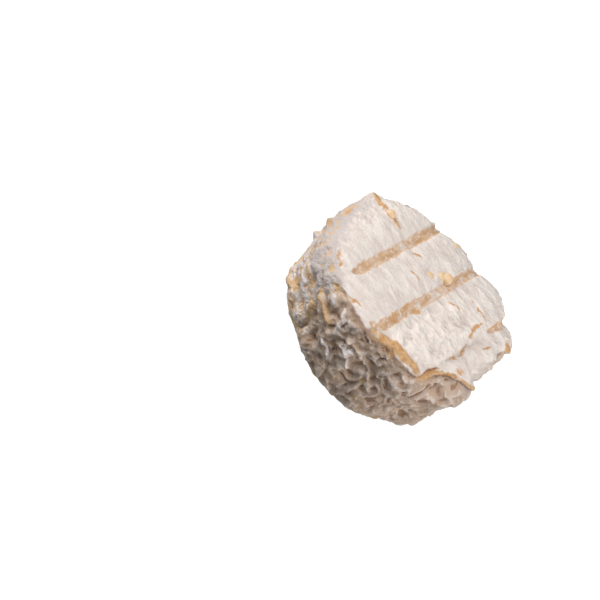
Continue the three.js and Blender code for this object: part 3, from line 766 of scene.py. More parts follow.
@dataclass(frozen=True)
class Marks:
    """What has its own place on the cheese: splits, torn lips, side folds, lumps, the horn."""

    ragged: Pattern = Pattern(1.3, 51, 0.25)
    stray: Pattern = Pattern(1.7, 52, 0.7)
    breaks: Pattern = Pattern(2.2, 56)
    broken: Ramp = Ramp(-0.75, -0.1)
    split_end: float = 0.3
    split_least: float = 0.45
    lip_end: float = 0.12
    lip_least: float = 0.3
    lip_edge: Ramp = Ramp(-0.3, 0.3, 1, 0)
    lip_ragged: float = 2.6
    honey_least: float = 0.4
    fold_end: float = 0.15
    fold_least: float = 0.3
    fold_ragged: float = 0.8
    bare_edge: Ramp = Ramp(0.25, 0.7)
    powder_edge: Ramp = Ramp(0.3, 0.8)
    splits: tuple[Stroke, ...] = (
        Stroke(
            ((11.5, 14.9, 40), (14, 14.7, 40), (15.8, 14.2, 40), (19.4, 15.5, 40), (18.7, 12.6, 40)),
            0.4,
            0.5,
        ),
        Stroke(((18.7, 12.6, 40), (18.8, 8.2, 40), (19.3, 5.7, 40), (20.3, 2, 40)), 0.5, 0.65),
        Stroke(((7.8, 4.5, 40), (10.6, 5.5, 40), (14, 4.5, 40)), 0.35, 0.5),
        Stroke(((23.7, 5.2, 39.7), (25.7, 5.2, 39.5), (27, 9, 38.9)), 0.4, 0.5),
        Stroke(((-7.4, -1.2, 40), (-5, 0, 40), (-3.1, -0.2, 40)), 0.25, 0.45),
        Stroke(((-11.7, 6, 40), (-10.3, 7.2, 40), (-7.9, 8.3, 40)), 0.2, 0.4),
        Stroke(
            ((-17.1, -29.5, 35.9), (-12.3, -30.5, 38.3), (-9.9, -30.1, 39.1), (-6.9, -29.3, 39.6)),
            0.5,
            0.55,
        ),
        Stroke(
            ((-25, -20.1, 38.5), (-23.9, -22.3, 38.4), (-22, -23.4, 38.8), (-20.3, -26, 38.3)),
            0.3,
            0.5,
        ),
        Stroke(((-33.8, -2.5, 34.4), (-33.6, -0.9, 35.2), (-33.9, 2.9, 35.3)), 0.5, 1.0, 1),
        Stroke(
            ((1.5, -31.9, 37.3), (6.1, -30.6, 37.2), (10.2, -29.9, 37.2), (18.5, -28.3, 36.4)),
            0.5,
            0.5,
            0.7,
        ),
        Stroke(((21.6, 1, 39.9), (22, -2.2, 40), (22.4, -4.6, 40)), 0.7, 0.55, 0.8),
        Stroke(((22.4, -4.6, 40), (20.8, -11.5, 40)), 0.3, 0.35),
        Stroke(
            ((21.4, -16.2, 39.5), (20.9, -19.4, 39.4), (20.4, -22.8, 39.3), (20.8, -26.4, 37.5)),
            0.9,
            0.85,
            1,
        ),
        Stroke(((25, -11.5, 39.8), (27.5, -9, 39.9)), 0.15, 1.1),
        Stroke(((0.1, -13.4, 40), (0.4, -11, 40)), 0.1, 0.9, 0.8),
        Stroke(((3.2, -12.4, 40), (3.9, -8.2, 40)), 0.1, 0.9, 0.8),
    )
    lips: tuple[Stroke, ...] = (
        Stroke(
            ((-1.6, -29.2, 39.5), (-1.8, -31, 39.1), (-0.2, -31.7, 38.7), (2.4, -31.2, 38.8)),
            0.5,
            0.55,
        ),
        Stroke(((1.5, -31.5, 38.6), (6.1, -29.2, 39.1), (10.2, -28.5, 39.1), (20.2, -26.6, 38)), 0.7, 1.5),
        Stroke(((20.8, -26.6, 36.6), (21.4, -21.3, 38.8), (24, -16.4, 38.3), (28.3, -11.9, 39)), 0.7, 0.85),
        Stroke(((28.3, -11.9, 39), (33.6, -8.9, 38.9), (34, -8, 38)), 0.7, 0.95),
        Stroke(((-32.8, 12.4, 36.6), (-29.3, 10.4, 38.2), (-27, 9.6, 39)), 0.4, 1.1),
        Stroke(((-27, 9.6, 39), (-22.8, 9.1, 39.6), (-19.5, 8, 39.8)), 0.4, 0.6),
        Stroke(((29.3, 18.6, 37.4), (30.6, 16.4, 36.8)), 0.2, 1.4),
    )
    side_folds: tuple[Stroke, ...] = (
        Stroke(
            ((-30.8, -10.2, 15), (-29.6, -12.3, 13.4), (-27.8, -14.9, 12), (-24.7, -19.8, 14.2)),
            1.5,
            1.5,
            0.7,
        ),
        Stroke(((-24.7, -19.8, 14.2), (-21.6, -21.1, 11.8)), 1.2, 1.4, 0.6, 0.3),
        Stroke(
            ((-29.2, -18, 24.2), (-27.2, -20.2, 22.7), (-24.1, -23, 22.4), (-23, -23, 19.5)),
            1.1,
            1.3,
            0,
            1,
        ),
        Stroke(((-29.2, -15.2, 16.9), (-26.4, -19.1, 17), (-24, -21.3, 16.7)), -1.3, 0.9, 0.5),
        Stroke(((-15.5, -22.1, 7.7), (-14.3, -25.3, 12.5), (-14, -27, 17)), -1.4, 0.8),
        Stroke(
            ((-8.6, -29.8, 20), (-4.5, -30.8, 20.3), (-2.2, -30.5, 17.7), (-1.8, -30.3, 16.2)),
            1.2,
            0.8,
            0,
            1,
        ),
        Stroke(((-5.8, -31.3, 23.7), (-2.2, -31.9, 24.2), (1.6, -31.6, 24)), 0.9, 0.45),
        Stroke(((-3.2, -32.4, 25.2), (-0.4, -32.2, 26.3), (0.8, -32.4, 28.1)), 1.0, 0.75, 0, 1),
        Stroke(((-1.8, -32.4, 28.4), (-0.4, -32.2, 26.3), (1.4, -31.8, 25)), 0.8, 0.6, 0, 1),
        Stroke(((2, -31.6, 24), (4.4, -30.3, 20.4)), 0.6, 0.4, 0, 1),
        Stroke(((-2.8, -32.7, 30.4), (2.8, -32.2, 29.9)), 1.0, 0.6),
        Stroke(((-4.2, -32.2, 28.2), (-1, -32.4, 29.2), (1.6, -32.4, 28.9)), -1.1, 0.8),
        Stroke(((-9.7, -32.1, 35.4), (-8, -32.3, 32.8), (-6.7, -31.8, 27.8)), 0.9, 0.8, 0, 0.7),
        Stroke(((-15.2, -30.3, 35.2), (-13.1, -30.8, 31.8)), 0.9, 0.8, 0, 0.6),
        Stroke(((-34, -4.8, 29.7), (-34.1, -2.4, 28.6)), 1.5, 1.6, 1),
        Stroke(((-33.7, -6.8, 24.8), (-33.3, -4.9, 22.7)), 1.8, 1.3, 0, 0.5),
        Stroke(((-28.2, -19.9, 25.9), (-26.1, -22.6, 26.8), (-22.3, -25.2, 25.7)), 1.2, 1.1, 0.9),
        Stroke(((-18.7, -28.1, 29.5), (-13.7, -30, 28.2), (-9.4, -31.1, 27.3)), 1.6, 0.9, 0.9),
        Stroke(((-18.1, -27.2, 24.3), (-16.8, -27.4, 22.9), (-15.5, -26.7, 18.2)), 1.4, 1.3, 0.9),
    )
    lumps: tuple[Spot, ...] = (
        Spot((-17.2, -24.5, 13.9), 3.0, 1.7, 0.7),
        Spot((-10.3, -26.9, 12), 3.8, 1.7, 0.2),
        Spot((-9.7, -28.3, 15.7), 1.7, -1.6),
        Spot((-3.6, -29.7, 14.7), 2.4, -1.6),
        Spot((-23.2, -25.1, 27.4), 1.9, -2.0),
        Spot((-11.5, -31, 30.5), 1.8, -1.0),
        Spot((30.5, -2.2, 37.5), 4.0, -1.6),
        Spot((28.5, -19.5, 27.0), 8.0, 2.2),
    )
    horn: Spot = Spot((-32.8, 12.2, 35.4), 2.3, 2.0)

    def relief(self, points: np.ndarray) -> tuple[np.ndarray, dict[str, np.ndarray]]:
        """All the marks.

        Args:
            points: The body's points.

        Returns:
            The relief, and masks by name: torn, honey-coloured, bare and powdered skin.
        """
        relief = np.zeros(len(points))
        masks = {name: np.zeros(len(points)) for name in ("torn", "honey", "bare", "snow")}
        ragged = self.ragged.noise(points)
        strayed = points + self.stray.bends(points)
        broken = self.broken.at(self.breaks.noise(points))
        for split in self.splits:
            distance, share = Route(split.path).place(strayed)
            taper = blend(middle(share, self.split_end), self.split_least)
            mark = swell(distance, split.half * taper)
            relief -= split.height * mark
            masks["torn"] = np.maximum(masks["torn"], mark * np.maximum(broken, split.bare))
        for lump in (*self.lumps, self.horn):
            mark = swell(np.linalg.norm(points - np.array(lump.at), axis=1), lump.reach)
            relief += lump.height * mark
            masks["snow"] = np.maximum(masks["snow"], lump.powder * mark)
        for lip in self.lips:
            distance, share = Route(lip.path).place(points)
            ends = middle(share, self.lip_end)
            relief += lip.height * swell(distance, lip.half) * blend(ends, self.lip_least)
            skin = self.lip_edge.at(distance + self.lip_ragged * ragged - lip.half)
            masks["honey"] = np.maximum(masks["honey"], skin * blend(ends, self.honey_least))
        for fold in self.side_folds:
            distance, share = Route(fold.path).place(points)
            mark = swell(distance + self.fold_ragged * ragged, fold.half)
            relief += fold.height * mark * blend(middle(share, self.fold_end), self.fold_least)
            masks["bare"] = np.maximum(masks["bare"], fold.bare * self.bare_edge.at(mark))
            masks["snow"] = np.maximum(masks["snow"], fold.powder * self.powder_edge.at(mark))
        return relief, masks


@dataclass(frozen=True)
class CheeseForm:
    """The cheese's whole shape, in millimetres: the drum and all that lies on it."""

    drum: Drum = Drum()
    grooves: PressedGrooves = PressedGrooves()
    side: SideWrinkles = SideWrinkles()
    face: FaceWrinkles = FaceWrinkles()
    marks: Marks = Marks()
    face_tilt: Ramp = Ramp(0.25, 0.7)
    side_tilt: Ramp = Ramp(0.35, 0.85)
    side_up: Ramp = Ramp(0.02, 0.2)
    near_face: Ramp = Ramp(0.72, 0.93)
    swelling: Pattern = Pattern(11.0, 31, 0.8)
    swelling_calm: float = 0.6
    droop: float = 0.95
    droop_calm: float = 0.7
    bloom_tilt: Ramp = Ramp(0.55, 0.75)
    bloom_edge: Pattern = Pattern(1.7, 71, 0.08)
    veil_tilt: Ramp = Ramp(0.8, 0.97, 1, 0)

    def skin(self, directions: np.ndarray) -> Skin:
        """The finished skin.

        Args:
            directions: Unit directions, one row each.

        Returns:
            The points, and the masks that the finish reads.
        """
        body = self.drum.body(directions, self.grooves)
        points, normals = body.points, body.normals
        face = self.face_tilt.at(normals[:, 2])
        side = self.side_tilt.at(np.hypot(normals[:, 0], normals[:, 1])) * self.side_up.at(body.up)
        near_face = self.near_face.at(body.up)
        pressed, floor, hem = self.grooves.relief(points)
        wrinkled, side_masks = self.side.relief(body)
        crumpled, dips = self.face.relief(points)
        marked, mark_masks = self.marks.relief(points)
        relief = near_face * (pressed + self.grooves.fold_relief(points))
        relief += side * wrinkled + face * (1 - floor) * crumpled + marked
        relief += self.swelling.noise(points) * (1 - self.swelling_calm * face)
        sag = np.array(self.side.sag_way)
        sliding = sag - (normals @ sag)[:, None] * normals
        droop = self.droop * side * (1 - self.droop_calm * side_masks["left"]) * wrinkled
        moved = points + normals * relief[:, None] + droop[:, None] * sliding
        moved[:, 2] = np.maximum(moved[:, 2], 0)
        tilt = normals[:, 2] + self.bloom_edge.noise(points)
        on_side = {name: side * side_masks[name] for name in ("left", "crest", "pit_and_shade", "dust")}
        masks = {
            "face": np.maximum(self.bloom_tilt.at(tilt), self.side.chalky(body)),
            "groove": floor * near_face,
            "hem": hem * near_face,
            "dips": face * dips,
            # The veil's powder drawn darker as painted shade, fading out where the face turns flat.
            "veiled_and_shaded": side_masks["veiled_and_shaded"] * self.veil_tilt.at(tilt),
            "foot": side_masks["foot"],
            **on_side,
            **mark_masks,
        }
        return Skin(moved, masks)


@dataclass(frozen=True)
class Cloud:
    """A material's cloudy noise: size in millimetres, finer layers and squeeze by axis."""

    size: float
    detail: float = 3.0
    squeeze: tuple[float, float, float] = (1, 1, 1)


class Board:
    """A material's node tree, with short words for the nodes used here."""

    def __init__(self, name: str) -> None:
        """Makes a material with a shader, its output and the piece's own coordinates.

        Args:
            name: The material's name.
        """
        self.material = bpy.data.materials.new(name)
        self.material.use_nodes = True
        self.tree = self.material.node_tree
        self.shader = self.tree.nodes["Principled BSDF"]
        coordinates = self.tree.nodes.new("ShaderNodeTexCoord")
        self.place = coordinates.outputs["Object"]

    def put(self, socket: bpy.types.NodeSocket, value: object) -> None:
        """Links a socket to another node's output, or sets it to a plain value.

        Args:
            socket: The socket that takes the value.
            value: An output socket, a number or a colour.
        """
        if isinstance(value, bpy.types.NodeSocket):
            self.tree.links.new(value, socket)
        else:
            socket.default_value = value

    def set_plain(self, values: dict[str, object]) -> None:
        """Sets the shader's sockets that are the same all over, by their names."""
        for name, value in values.items():
            self.shader.inputs[name].default_value = value

    def mask(self, name: str) -> bpy.types.NodeSocket:
        """One of the skin's masks.

        Args:
            name: The mask's name.

        Returns:
            Its value.
        """
        node = self.tree.nodes.new("ShaderNodeAttribute")
        node.attribute_name = name
        return node.outputs["Fac"]

    def noise(self, cloud: Cloud) -> bpy.types.NodeSocket:
        """Cloudy noise in the cheese's own space.

        Args:
            cloud: Which clouds.

        Returns:
            The noise, from 0 to 1.
        """
        mapping = self.tree.nodes.new("ShaderNodeMapping")
        mapping.inputs["Scale"].default_value = cloud.squeeze
        self.put(mapping.inputs["Vector"], self.place)
        node = self.tree.nodes.new("ShaderNodeTexNoise")
        node.inputs["Scale"].default_value = 1 / (cloud.size * MM)
        node.inputs["Detail"].default_value = cloud.detail
        self.put(node.inputs["Vector"], mapping.outputs["Vector"])
        return node.outputs["Fac"]

    def spread(self, value: object, ramp: Ramp) -> bpy.types.NodeSocket:
        """Takes values up a smooth ramp.

        Args:
            value: The value to spread.
            ramp: The ramp.

        Returns:
            The ramp's height there.
        """
        node = self.tree.nodes.new("ShaderNodeMapRange")
        node.interpolation_type = "SMOOTHSTEP"
        self.put(node.inputs["Value"], value)
        node.inputs["From Min"].default_value = ramp.low
        node.inputs["From Max"].default_value = ramp.high
        node.inputs["To Min"].default_value = ramp.start
        node.inputs["To Max"].default_value = ramp.end
        return node.outputs["Result"]

    def masked(self, name: str, ramp: Ramp) -> bpy.types.NodeSocket:
        """One of the skin's masks, taken up a ramp."""
        return self.spread(self.mask(name), ramp)

    def clouds(self, cloud: Cloud, ramp: Ramp) -> bpy.types.NodeSocket:
        """Cloudy noise, taken up a ramp."""
        return self.spread(self.noise(cloud), ramp)

    def math(
        self, operation: str, first: object, second: object = 0.0, third: object = 0.0
    ) -> bpy.types.NodeSocket:
        """A sum, product or other operation on two or three values.

        Args:
            operation: Blender's name of the operation.
            first: The first value.
            second: The second value.
            third: The third value.

        Returns:
            The result.
        """
        node = self.tree.nodes.new("ShaderNodeMath")
        node.operation = operation
        for socket, value in zip(node.inputs, (first, second, third)):
            self.put(socket, value)
        return node.outputs["Value"]

    def mix(self, share: object, first: object, second: object) -> bpy.types.NodeSocket:
        """Mixes two colours.

        Args:
            share: How much of the second colour, from 0 to 1.
            first: The first colour.
            second: The second colour.

        Returns:
            The mixed colour.
        """
        node = self.tree.nodes.new("ShaderNodeMix")
        node.data_type = "RGBA"
        for name, value in zip(("Factor", "A", "B"), (share, first, second)):
            self.put(node.inputs[name], value)
        return node.outputs["Result"]

    def bump(
        self, height: object, reach: float, strength: float, below: object = None
    ) -> bpy.types.NodeSocket:
        """Fine relief that is too small for the mesh.

        Args:
            height: The relief, from 0 to 1.
            reach: How high 1 stands, in millimetres.
            strength: How much of it is used.
            below: The normal of a bump under this one.

        Returns:
            The bent normal.
        """
        node = self.tree.nodes.new("ShaderNodeBump")
        node.inputs["Distance"].default_value = reach * MM
        node.inputs["Strength"].default_value = strength
        self.put(node.inputs["Height"], height)
        if below is not None:
            self.put(node.inputs["Normal"], below)
        return node.outputs["Normal"]


SCREEN_WHITE = 255
SCREEN_OFFSET = 0.055
SCREEN_POWER = 2.4

Colour = tuple[float, float, float, float]


def colour(*screen: float) -> Colour:
    """A colour for a node socket.

    Args:
        screen: Red, green and blue on the 0 to 255 scale of a screen.

    Returns:
        The colour in linear light, with an alpha of 1.
    """
    shares = [value / SCREEN_WHITE for value in screen]
    linear = [((share + SCREEN_OFFSET) / (1 + SCREEN_OFFSET)) ** SCREEN_POWER for share in shares]
    return (*linear, 1.0)


@dataclass(frozen=True)
class SideTones:
    """The side's colours, and how they lie: tan and brown wrinkles under loose flour. The brown of the pits
    is partly the rind's own and partly painted shade, the strip under the rim has a painted shadow, the
    crests are lighter partly with bloom and partly as a painted highlight, and the veil's powder is drawn
    darker as painted shade.
    """

    side: Colour = colour(194, 172, 156)
    warm: Colour = colour(190, 164, 142)
    tan: Colour = colour(230, 196, 156)
    # Crest colour: partly bloom on the ridges, partly painted highlight.
    crest: Colour = colour(214, 197, 184)
    # The hollows' brown: partly the rind's own colour, partly painted shade, and the painted shadow under
    # the rim.
    pit_and_shade: Colour = colour(142, 110, 86)
    yellow: Colour = colour(196, 162, 106)
    bare: Colour = colour(208, 174, 132)
    powder: Colour = colour(228, 222, 222)
    # Painted shade: the powder drawn darker where the veil lies, on the upper-left flank and the face's
    # edge.
    veil: Colour = colour(199, 189, 186)
    blotches: Cloud = Cloud(4.0, 4)
    flour: Cloud = Cloud(0.7, 6)
    spots: Cloud = Cloud(4.5, 4)
    blotch_ramp: Ramp = Ramp(0.35, 0.65)
    pit_ramp: Ramp = Ramp(0.1, 0.9, 0, 0.9)
    tan_ramp: Ramp = Ramp(0, 1, 0, 0.8)
    crest_ramp: Ramp = Ramp(0.2, 0.9, 0, 0.8)
    foot_spots: float = 0.1
    spot_ramp: Ramp = Ramp(0.64, 0.74, 0, 0.75)
    lying_ramp: Ramp = Ramp(0, 0.8, 0.05, 1)
    bare_loss: float = -0.5
    flour_ramp: Ramp = Ramp(0.3, 0.7, -0.45, 0.45)
    powder_ramp: Ramp = Ramp(0.35, 0.8, 0, 0.95)

    def tone(self, board: Board) -> bpy.types.NodeSocket:
        """The colour of the side.

        Args:
            board: The board that the material is made on.

        Returns:
            The colour.
        """
        tone = board.mix(board.clouds(self.blotches, self.blotch_ramp), self.side, self.warm)
        # Darker in the pits and under the rim: partly the rind's brown, partly painted shade and shadow.
        tone = board.mix(board.masked("pit_and_shade", self.pit_ramp), tone, self.pit_and_shade)
        tone = board.mix(board.masked("left", self.tan_ramp), tone, self.tan)
        # Lighter on the crests: partly bloom caught on them, partly painted highlight.
        tone = board.mix(board.masked("crest", self.crest_ramp), tone, self.crest)
        spots = board.math("MULTIPLY_ADD", board.mask("foot"), self.foot_spots, board.noise(self.spots))
        tone = board.mix(board.spread(spots, self.spot_ramp), tone, self.yellow)
        tone = board.mix(board.mask("bare"), tone, self.bare)
        lying = board.masked("crest", self.lying_ramp)
        dusted = board.math("MULTIPLY_ADD", board.mask("dust"), lying, board.mask("snow"))
        dusted = board.math("MULTIPLY_ADD", board.mask("bare"), self.bare_loss, dusted)
        dusted = board.math("ADD", dusted, board.clouds(self.flour, self.flour_ramp))
        # The veil's powder takes the darker copy, as painted shade.
        powder = board.mix(board.mask("veiled_and_shaded"), self.powder, self.veil)
        return board.mix(board.spread(dusted, self.powder_ramp), tone, powder)


@dataclass(frozen=True)
class FaceTones:
    """The face's colours, and how they lie: chalky bloom, darker in the dips of its wrinkles partly as
    painted shade, with a thin veil of powder at its edge that is drawn darker as painted shade.
    """

    chalk: Colour = colour(242, 233, 226)
    shade: Colour = colour(215, 201, 194)
    # Painted shade: the face's edge drawn in the same darker powder as the side's veil.
    veil: Colour = colour(199, 189, 186)
    wisps: Cloud = Cloud(2.2, 5, (0.4, 1, 1))
    wisp_ramp: Ramp = Ramp(0.38, 0.68, 0, 0.48)
    dip_shade: float = 0.5
    veil_shade_share: float = 0.85

    def tone(self, board: Board) -> bpy.types.NodeSocket:
        """The colour of the face.

        Args:
            board: The board that the material is made on.

        Returns:
            The colour.
        """
        wisps = board.clouds(self.wisps, self.wisp_ramp)
        shaded = board.math("MULTIPLY_ADD", board.mask("dips"), self.dip_shade, wisps)
        chalk = board.mix(shaded, self.chalk, self.shade)
        # Painted shade at the face's edge, where the veil's powder is drawn darker.
        veiled_and_shaded = board.math("MULTIPLY", board.mask("veiled_and_shaded"), self.veil_shade_share)
        return board.mix(veiled_and_shaded, chalk, self.veil)


@dataclass(frozen=True)
class GrooveTones:
    """The grooves' colours, and how they lie: a peach floor with crumbs of bloom."""

    peach: Colour = colour(229, 200, 172)
    deep: Colour = colour(214, 168, 124)
    crumb: Colour = colour(242, 233, 226)
    streaks: Cloud = Cloud(1.3, 5, (1, 0.3, 1))
    streak_ramp: Ramp = Ramp(0.35, 0.68)
    drifts: Cloud = Cloud(3.5, 2)
    drift_ramp: Ramp = Ramp(0.42, 0.6)
    grains: Cloud = Cloud(1.2, 5)
    grain_ramp: Ramp = Ramp(0.46, 0.62, 0, 0.7)

    def tone(self, board: Board) -> bpy.types.NodeSocket:
        """The colour of the grooves' floors.

        Args:
            board: The board that the material is made on.

        Returns:
            The colour.
        """
        peach = board.mix(board.clouds(self.streaks, self.streak_ramp), self.deep, self.peach)
        grains = board.clouds(self.grains, self.grain_ramp)
        crumbs = board.math("MULTIPLY", board.clouds(self.drifts, self.drift_ramp), grains)
        return board.mix(crumbs, peach, self.crumb)


@dataclass(frozen=True)
class RindFinish:
    """The rind: chalky bloom on the face, tan and brown wrinkles on the side, with painted shade in the
    hollows and under the rim, and a painted highlight on the side's crests.
    """

    side: SideTones = SideTones()
    face: FaceTones = FaceTones()
    groove: GrooveTones = GrooveTones()
    split: Colour = colour(213, 167, 120)
    honey: Colour = colour(214, 174, 128)
    honey_deep: Colour = colour(198, 148, 96)
    honey_clouds: Cloud = Cloud(2.2, 3)
    honey_ramp: Ramp = Ramp(0.4, 0.65)
    hem_ramp: Ramp = Ramp(0.3, 0.9, 0, 0.6)
    torn_ramp: Ramp = Ramp(0.15, 0.75)
    roughness: Ramp = Ramp(0, 1, 0.9, 0.55)
    depth_weight: float = 0.12
    depth_colours: tuple[float, float, float] = (1.0, 0.6, 0.4)
    depth: float = 0.8
    shine: float = 0.3
    grain: Cloud = Cloud(0.45, 3)
    grain_height: float = 0.2
    grain_strength: float = 0.7
    flour: Cloud = Cloud(0.9, 5)
    flour_height: float = 0.6
    flour_strength: Ramp = Ramp(0, 1, 0.45, 1)

    def tone(self, board: Board) -> bpy.types.NodeSocket:
        """The rind's colour all over.

        Args:
            board: The board that the material is made on.

        Returns:
            The colour.
        """
        tone = board.mix(board.mask("face"), self.side.tone(board), self.face.tone(board))
        tone = board.mix(board.mask("groove"), tone, self.groove.tone(board))
        tone = board.mix(board.masked("hem", self.hem_ramp), tone, self.split)
        tone = board.mix(board.masked("torn", self.torn_ramp), tone, self.split)
        waxy = board.mix(board.clouds(self.honey_clouds, self.honey_ramp), self.honey, self.honey_deep)
        return board.mix(board.mask("honey"), tone, waxy)

    def material(self) -> bpy.types.Material:
        """Builds the rind's material.

        Returns:
            The material.
        """
        board = Board("bloomy_rind")
        shader = board.shader
        board.put(shader.inputs["Base Color"], self.tone(board))
        smooth_skin = board.math("MAXIMUM", board.mask("groove"), board.mask("honey"))
        board.put(shader.inputs["Roughness"], board.spread(smooth_skin, self.roughness))
        board.set_plain(
            {
                "Subsurface Weight": self.depth_weight,
                "Subsurface Radius": self.depth_colours,
                "Subsurface Scale": self.depth * MM,
                "Specular IOR Level": self.shine,
            }
        )
        floury = board.math("MAXIMUM", board.mask("face"), board.mask("dust"))
        strength = board.spread(floury, self.flour_strength)
        lumpy = board.math("MULTIPLY", board.noise(self.flour), strength)
        rough = board.bump(board.noise(self.grain), self.grain_height, self.grain_strength)
        board.put(shader.inputs["Normal"], board.bump(lumpy, self.flour_height, 1.0, rough))
        return board.material


@dataclass(frozen=True)
class WheyFinish:
    """Dried whey: honey-coloured, dense and slightly waxy."""

    body: Colour = colour(218, 183, 140)
    pale: Colour = colour(228, 204, 172)
    clouds: Cloud = Cloud(1.5, 3)
    roughness: float = 0.45
    depth_weight: float = 0.4
    depth_colours: tuple[float, float, float] = (1.0, 0.5, 0.25)
    depth: float = 1.5
    dimples: Cloud = Cloud(0.6, 2)
    dimple_height: float = 0.2
    dimple_strength: float = 0.3

    def material(self) -> bpy.types.Material:
        """Builds the whey's material.

        Returns:
            The material.
        """
        board = Board("dried_whey")
        tone = board.mix(board.noise(self.clouds), self.body, self.pale)
        board.put(board.shader.inputs["Base Color"], tone)
        board.set_plain(
            {
                "Roughness": self.roughness,
                "Subsurface Weight": self.depth_weight,
                "Subsurface Radius": self.depth_colours,
                "Subsurface Scale": self.depth * MM,
            }
        )
        dimpled = board.bump(board.noise(self.dimples), self.dimple_height, self.dimple_strength)
        board.put(board.shader.inputs["Normal"], dimpled)
        return board.material


@dataclass(frozen=True)
class FloorFinish:
    """A plain white studio floor, which glows so that it stays white in the picture."""

    paint: Colour = colour(100, 100, 101)
    roughness: float = 0.9
    glow: float = 1.0

    def material(self) -> bpy.types.Material:
        """Builds the floor's material.

        Returns:
            The material.
        """
        board = Board("studio_floor")
        board.set_plain(
            {
                "Base Color": self.paint,
                "Roughness": self.roughness,
                "Emission Color": (1, 1, 1, 1),
                "Emission Strength": self.glow,
            }
        )
        return board.material


def deselect() -> None:
    """Leaves every object unselected, so that an operator acts on new ones alone."""
    bpy.ops.object.select_all(action="DESELECT")


def corners(piece: bpy.types.Object) -> np.ndarray:
    """A piece's vertices.

    Args:
        piece: The piece.

    Returns:
        Their places, one row each.
    """
    places = np.zeros(len(piece.data.vertices) * 3)
    piece.data.vertices.foreach_get("co", places)
    return places.reshape(-1, 3)


def shape(piece: bpy.types.Object, points: np.ndarray) -> None:
    """Moves a piece's vertices and smooths its shading.

    Args:
        piece: The piece, which is the one selected.
        points: The vertices' new places in millimetres, one row each.
    """
    piece.data.vertices.foreach_set("co", (points * MM).ravel())
    bpy.ops.object.shade_smooth()
    piece.data.update()


def fit_to_body(piece: bpy.types.Object, material: bpy.types.Material) -> None:
    """Dresses a finished piece and makes it ride on the cheese's body.

    Args:
        piece: The piece.
        material: Its finish.
    """
    piece.data.materials.clear()
    piece.data.materials.append(material)
    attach(piece, BODY)
    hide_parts(NODE)


@dataclass
class CheeseSkin:
    """The cheese itself: its skin as one closed mesh."""

    form: CheeseForm
    finish: RindFinish
    halvings: int = 7
    name: str = "cheese_skin"

    def cube(self) -> bpy.types.Object:
        """A cube with its faces cut into small squares.

        Returns:
            The cube.
        """
        deselect()
        bpy.ops.mesh.primitive_cube_add(size=2, location=(0, 0, 0))
        block = bpy.context.object
        bpy.ops.object.mode_set(mode="EDIT")
        for _ in range(self.halvings):
            bpy.ops.mesh.subdivide(number_cuts=1)
        bpy.ops.object.mode_set(mode="OBJECT")
        return block

    def directions(self, block: bpy.types.Object) -> np.ndarray:
        """The cube's vertices pushed out to a unit sphere, its lines along the grooves.

        Args:
            block: The cube.

        Returns:
            Unit directions, one row each.
        """
        warped = np.tan(corners(block) * math.pi / 4)
        warped /= np.linalg.norm(warped, axis=1, keepdims=True)
        turn = Matrix.Rotation(-math.atan(self.form.grooves.slope), 3, "Z")
        return warped @ np.array(turn).T

    def build(self) -> bpy.types.Object:
        """Builds, masks and dresses the skin.

        Returns:
            The finished piece.
        """
        block = self.cube()
        block.name = self.name
        skin = self.form.skin(self.directions(block))
        for name, values in skin.masks.items():
            attribute = block.data.attributes.new(name, "FLOAT", "POINT")
            attribute.data.foreach_set("value", values.astype(np.float32))
        shape(block, skin.points)
        fit_to_body(block, self.finish.material())
        return block


@dataclass
class WheyDrops:
    """Drops of whey dried on the face: flattened, slightly uneven balls sunk in the skin."""

    finish: WheyFinish
    segments: int = 32
    rings: int = 20
    dents: Pattern = Pattern(1 / 1.4, 61, 0.12)
    next_dents: float = 3.7
    drops: tuple[Spot, ...] = (
        Spot((-25, 9.3, 39.7), 1.6, 1.3),
        Spot((1.7, 11.4, 39.6), 1.95, 1.8),
        Spot((0.1, 10.4, 39.2), 1.7, 1.3),
        Spot((-2.5, 6.1, 39.5), 1.3, 0.8),
        Spot((-4.8, 27.2, 38.2), 1.3, 0.8),
    )

    def drop(self, number: int, spot: Spot) -> bpy.types.Object:
        """Models one drop.

        Args:
            number: Which drop, from 1.
            spot: Its place and size.

        Returns:
            The drop.
        """
        deselect()
        bpy.ops.mesh.primitive_uv_sphere_add(segments=self.segments, ring_count=self.rings, radius=1)
        piece = bpy.context.object
        piece.name = f"whey_drop_{number}"
        ball = corners(piece)
        shifted = replace(self.dents, shift=number * self.next_dents)
        ball *= 1 + shifted.noise(ball)[:, None]
        shape(piece, ball * np.array([spot.reach, spot.reach, spot.height]) + np.array(spot.at))
        return piece

    def build(self) -> list[bpy.types.Object]:
        """Models and dresses all the drops.

        Returns:
            The drops.
        """
        material = self.finish.material()
        pieces = [self.drop(number, spot) for number, spot in enumerate(self.drops, 1)]
        for piece in pieces:
            fit_to_body(piece, material)
        return pieces


class Softness(Enum):
    """How wide a studio light is, in metres."""

    BROAD = 0.9
    MEDIUM = 0.5


@dataclass(frozen=True)
class Lamp:
    """A soft studio light: where it hangs from the cheese, its power and its tint."""

    name: str
    towards: tuple[float, float, float]
    distance: float
    power: float
    softness: Softness
    tint: tuple[float, float, float]


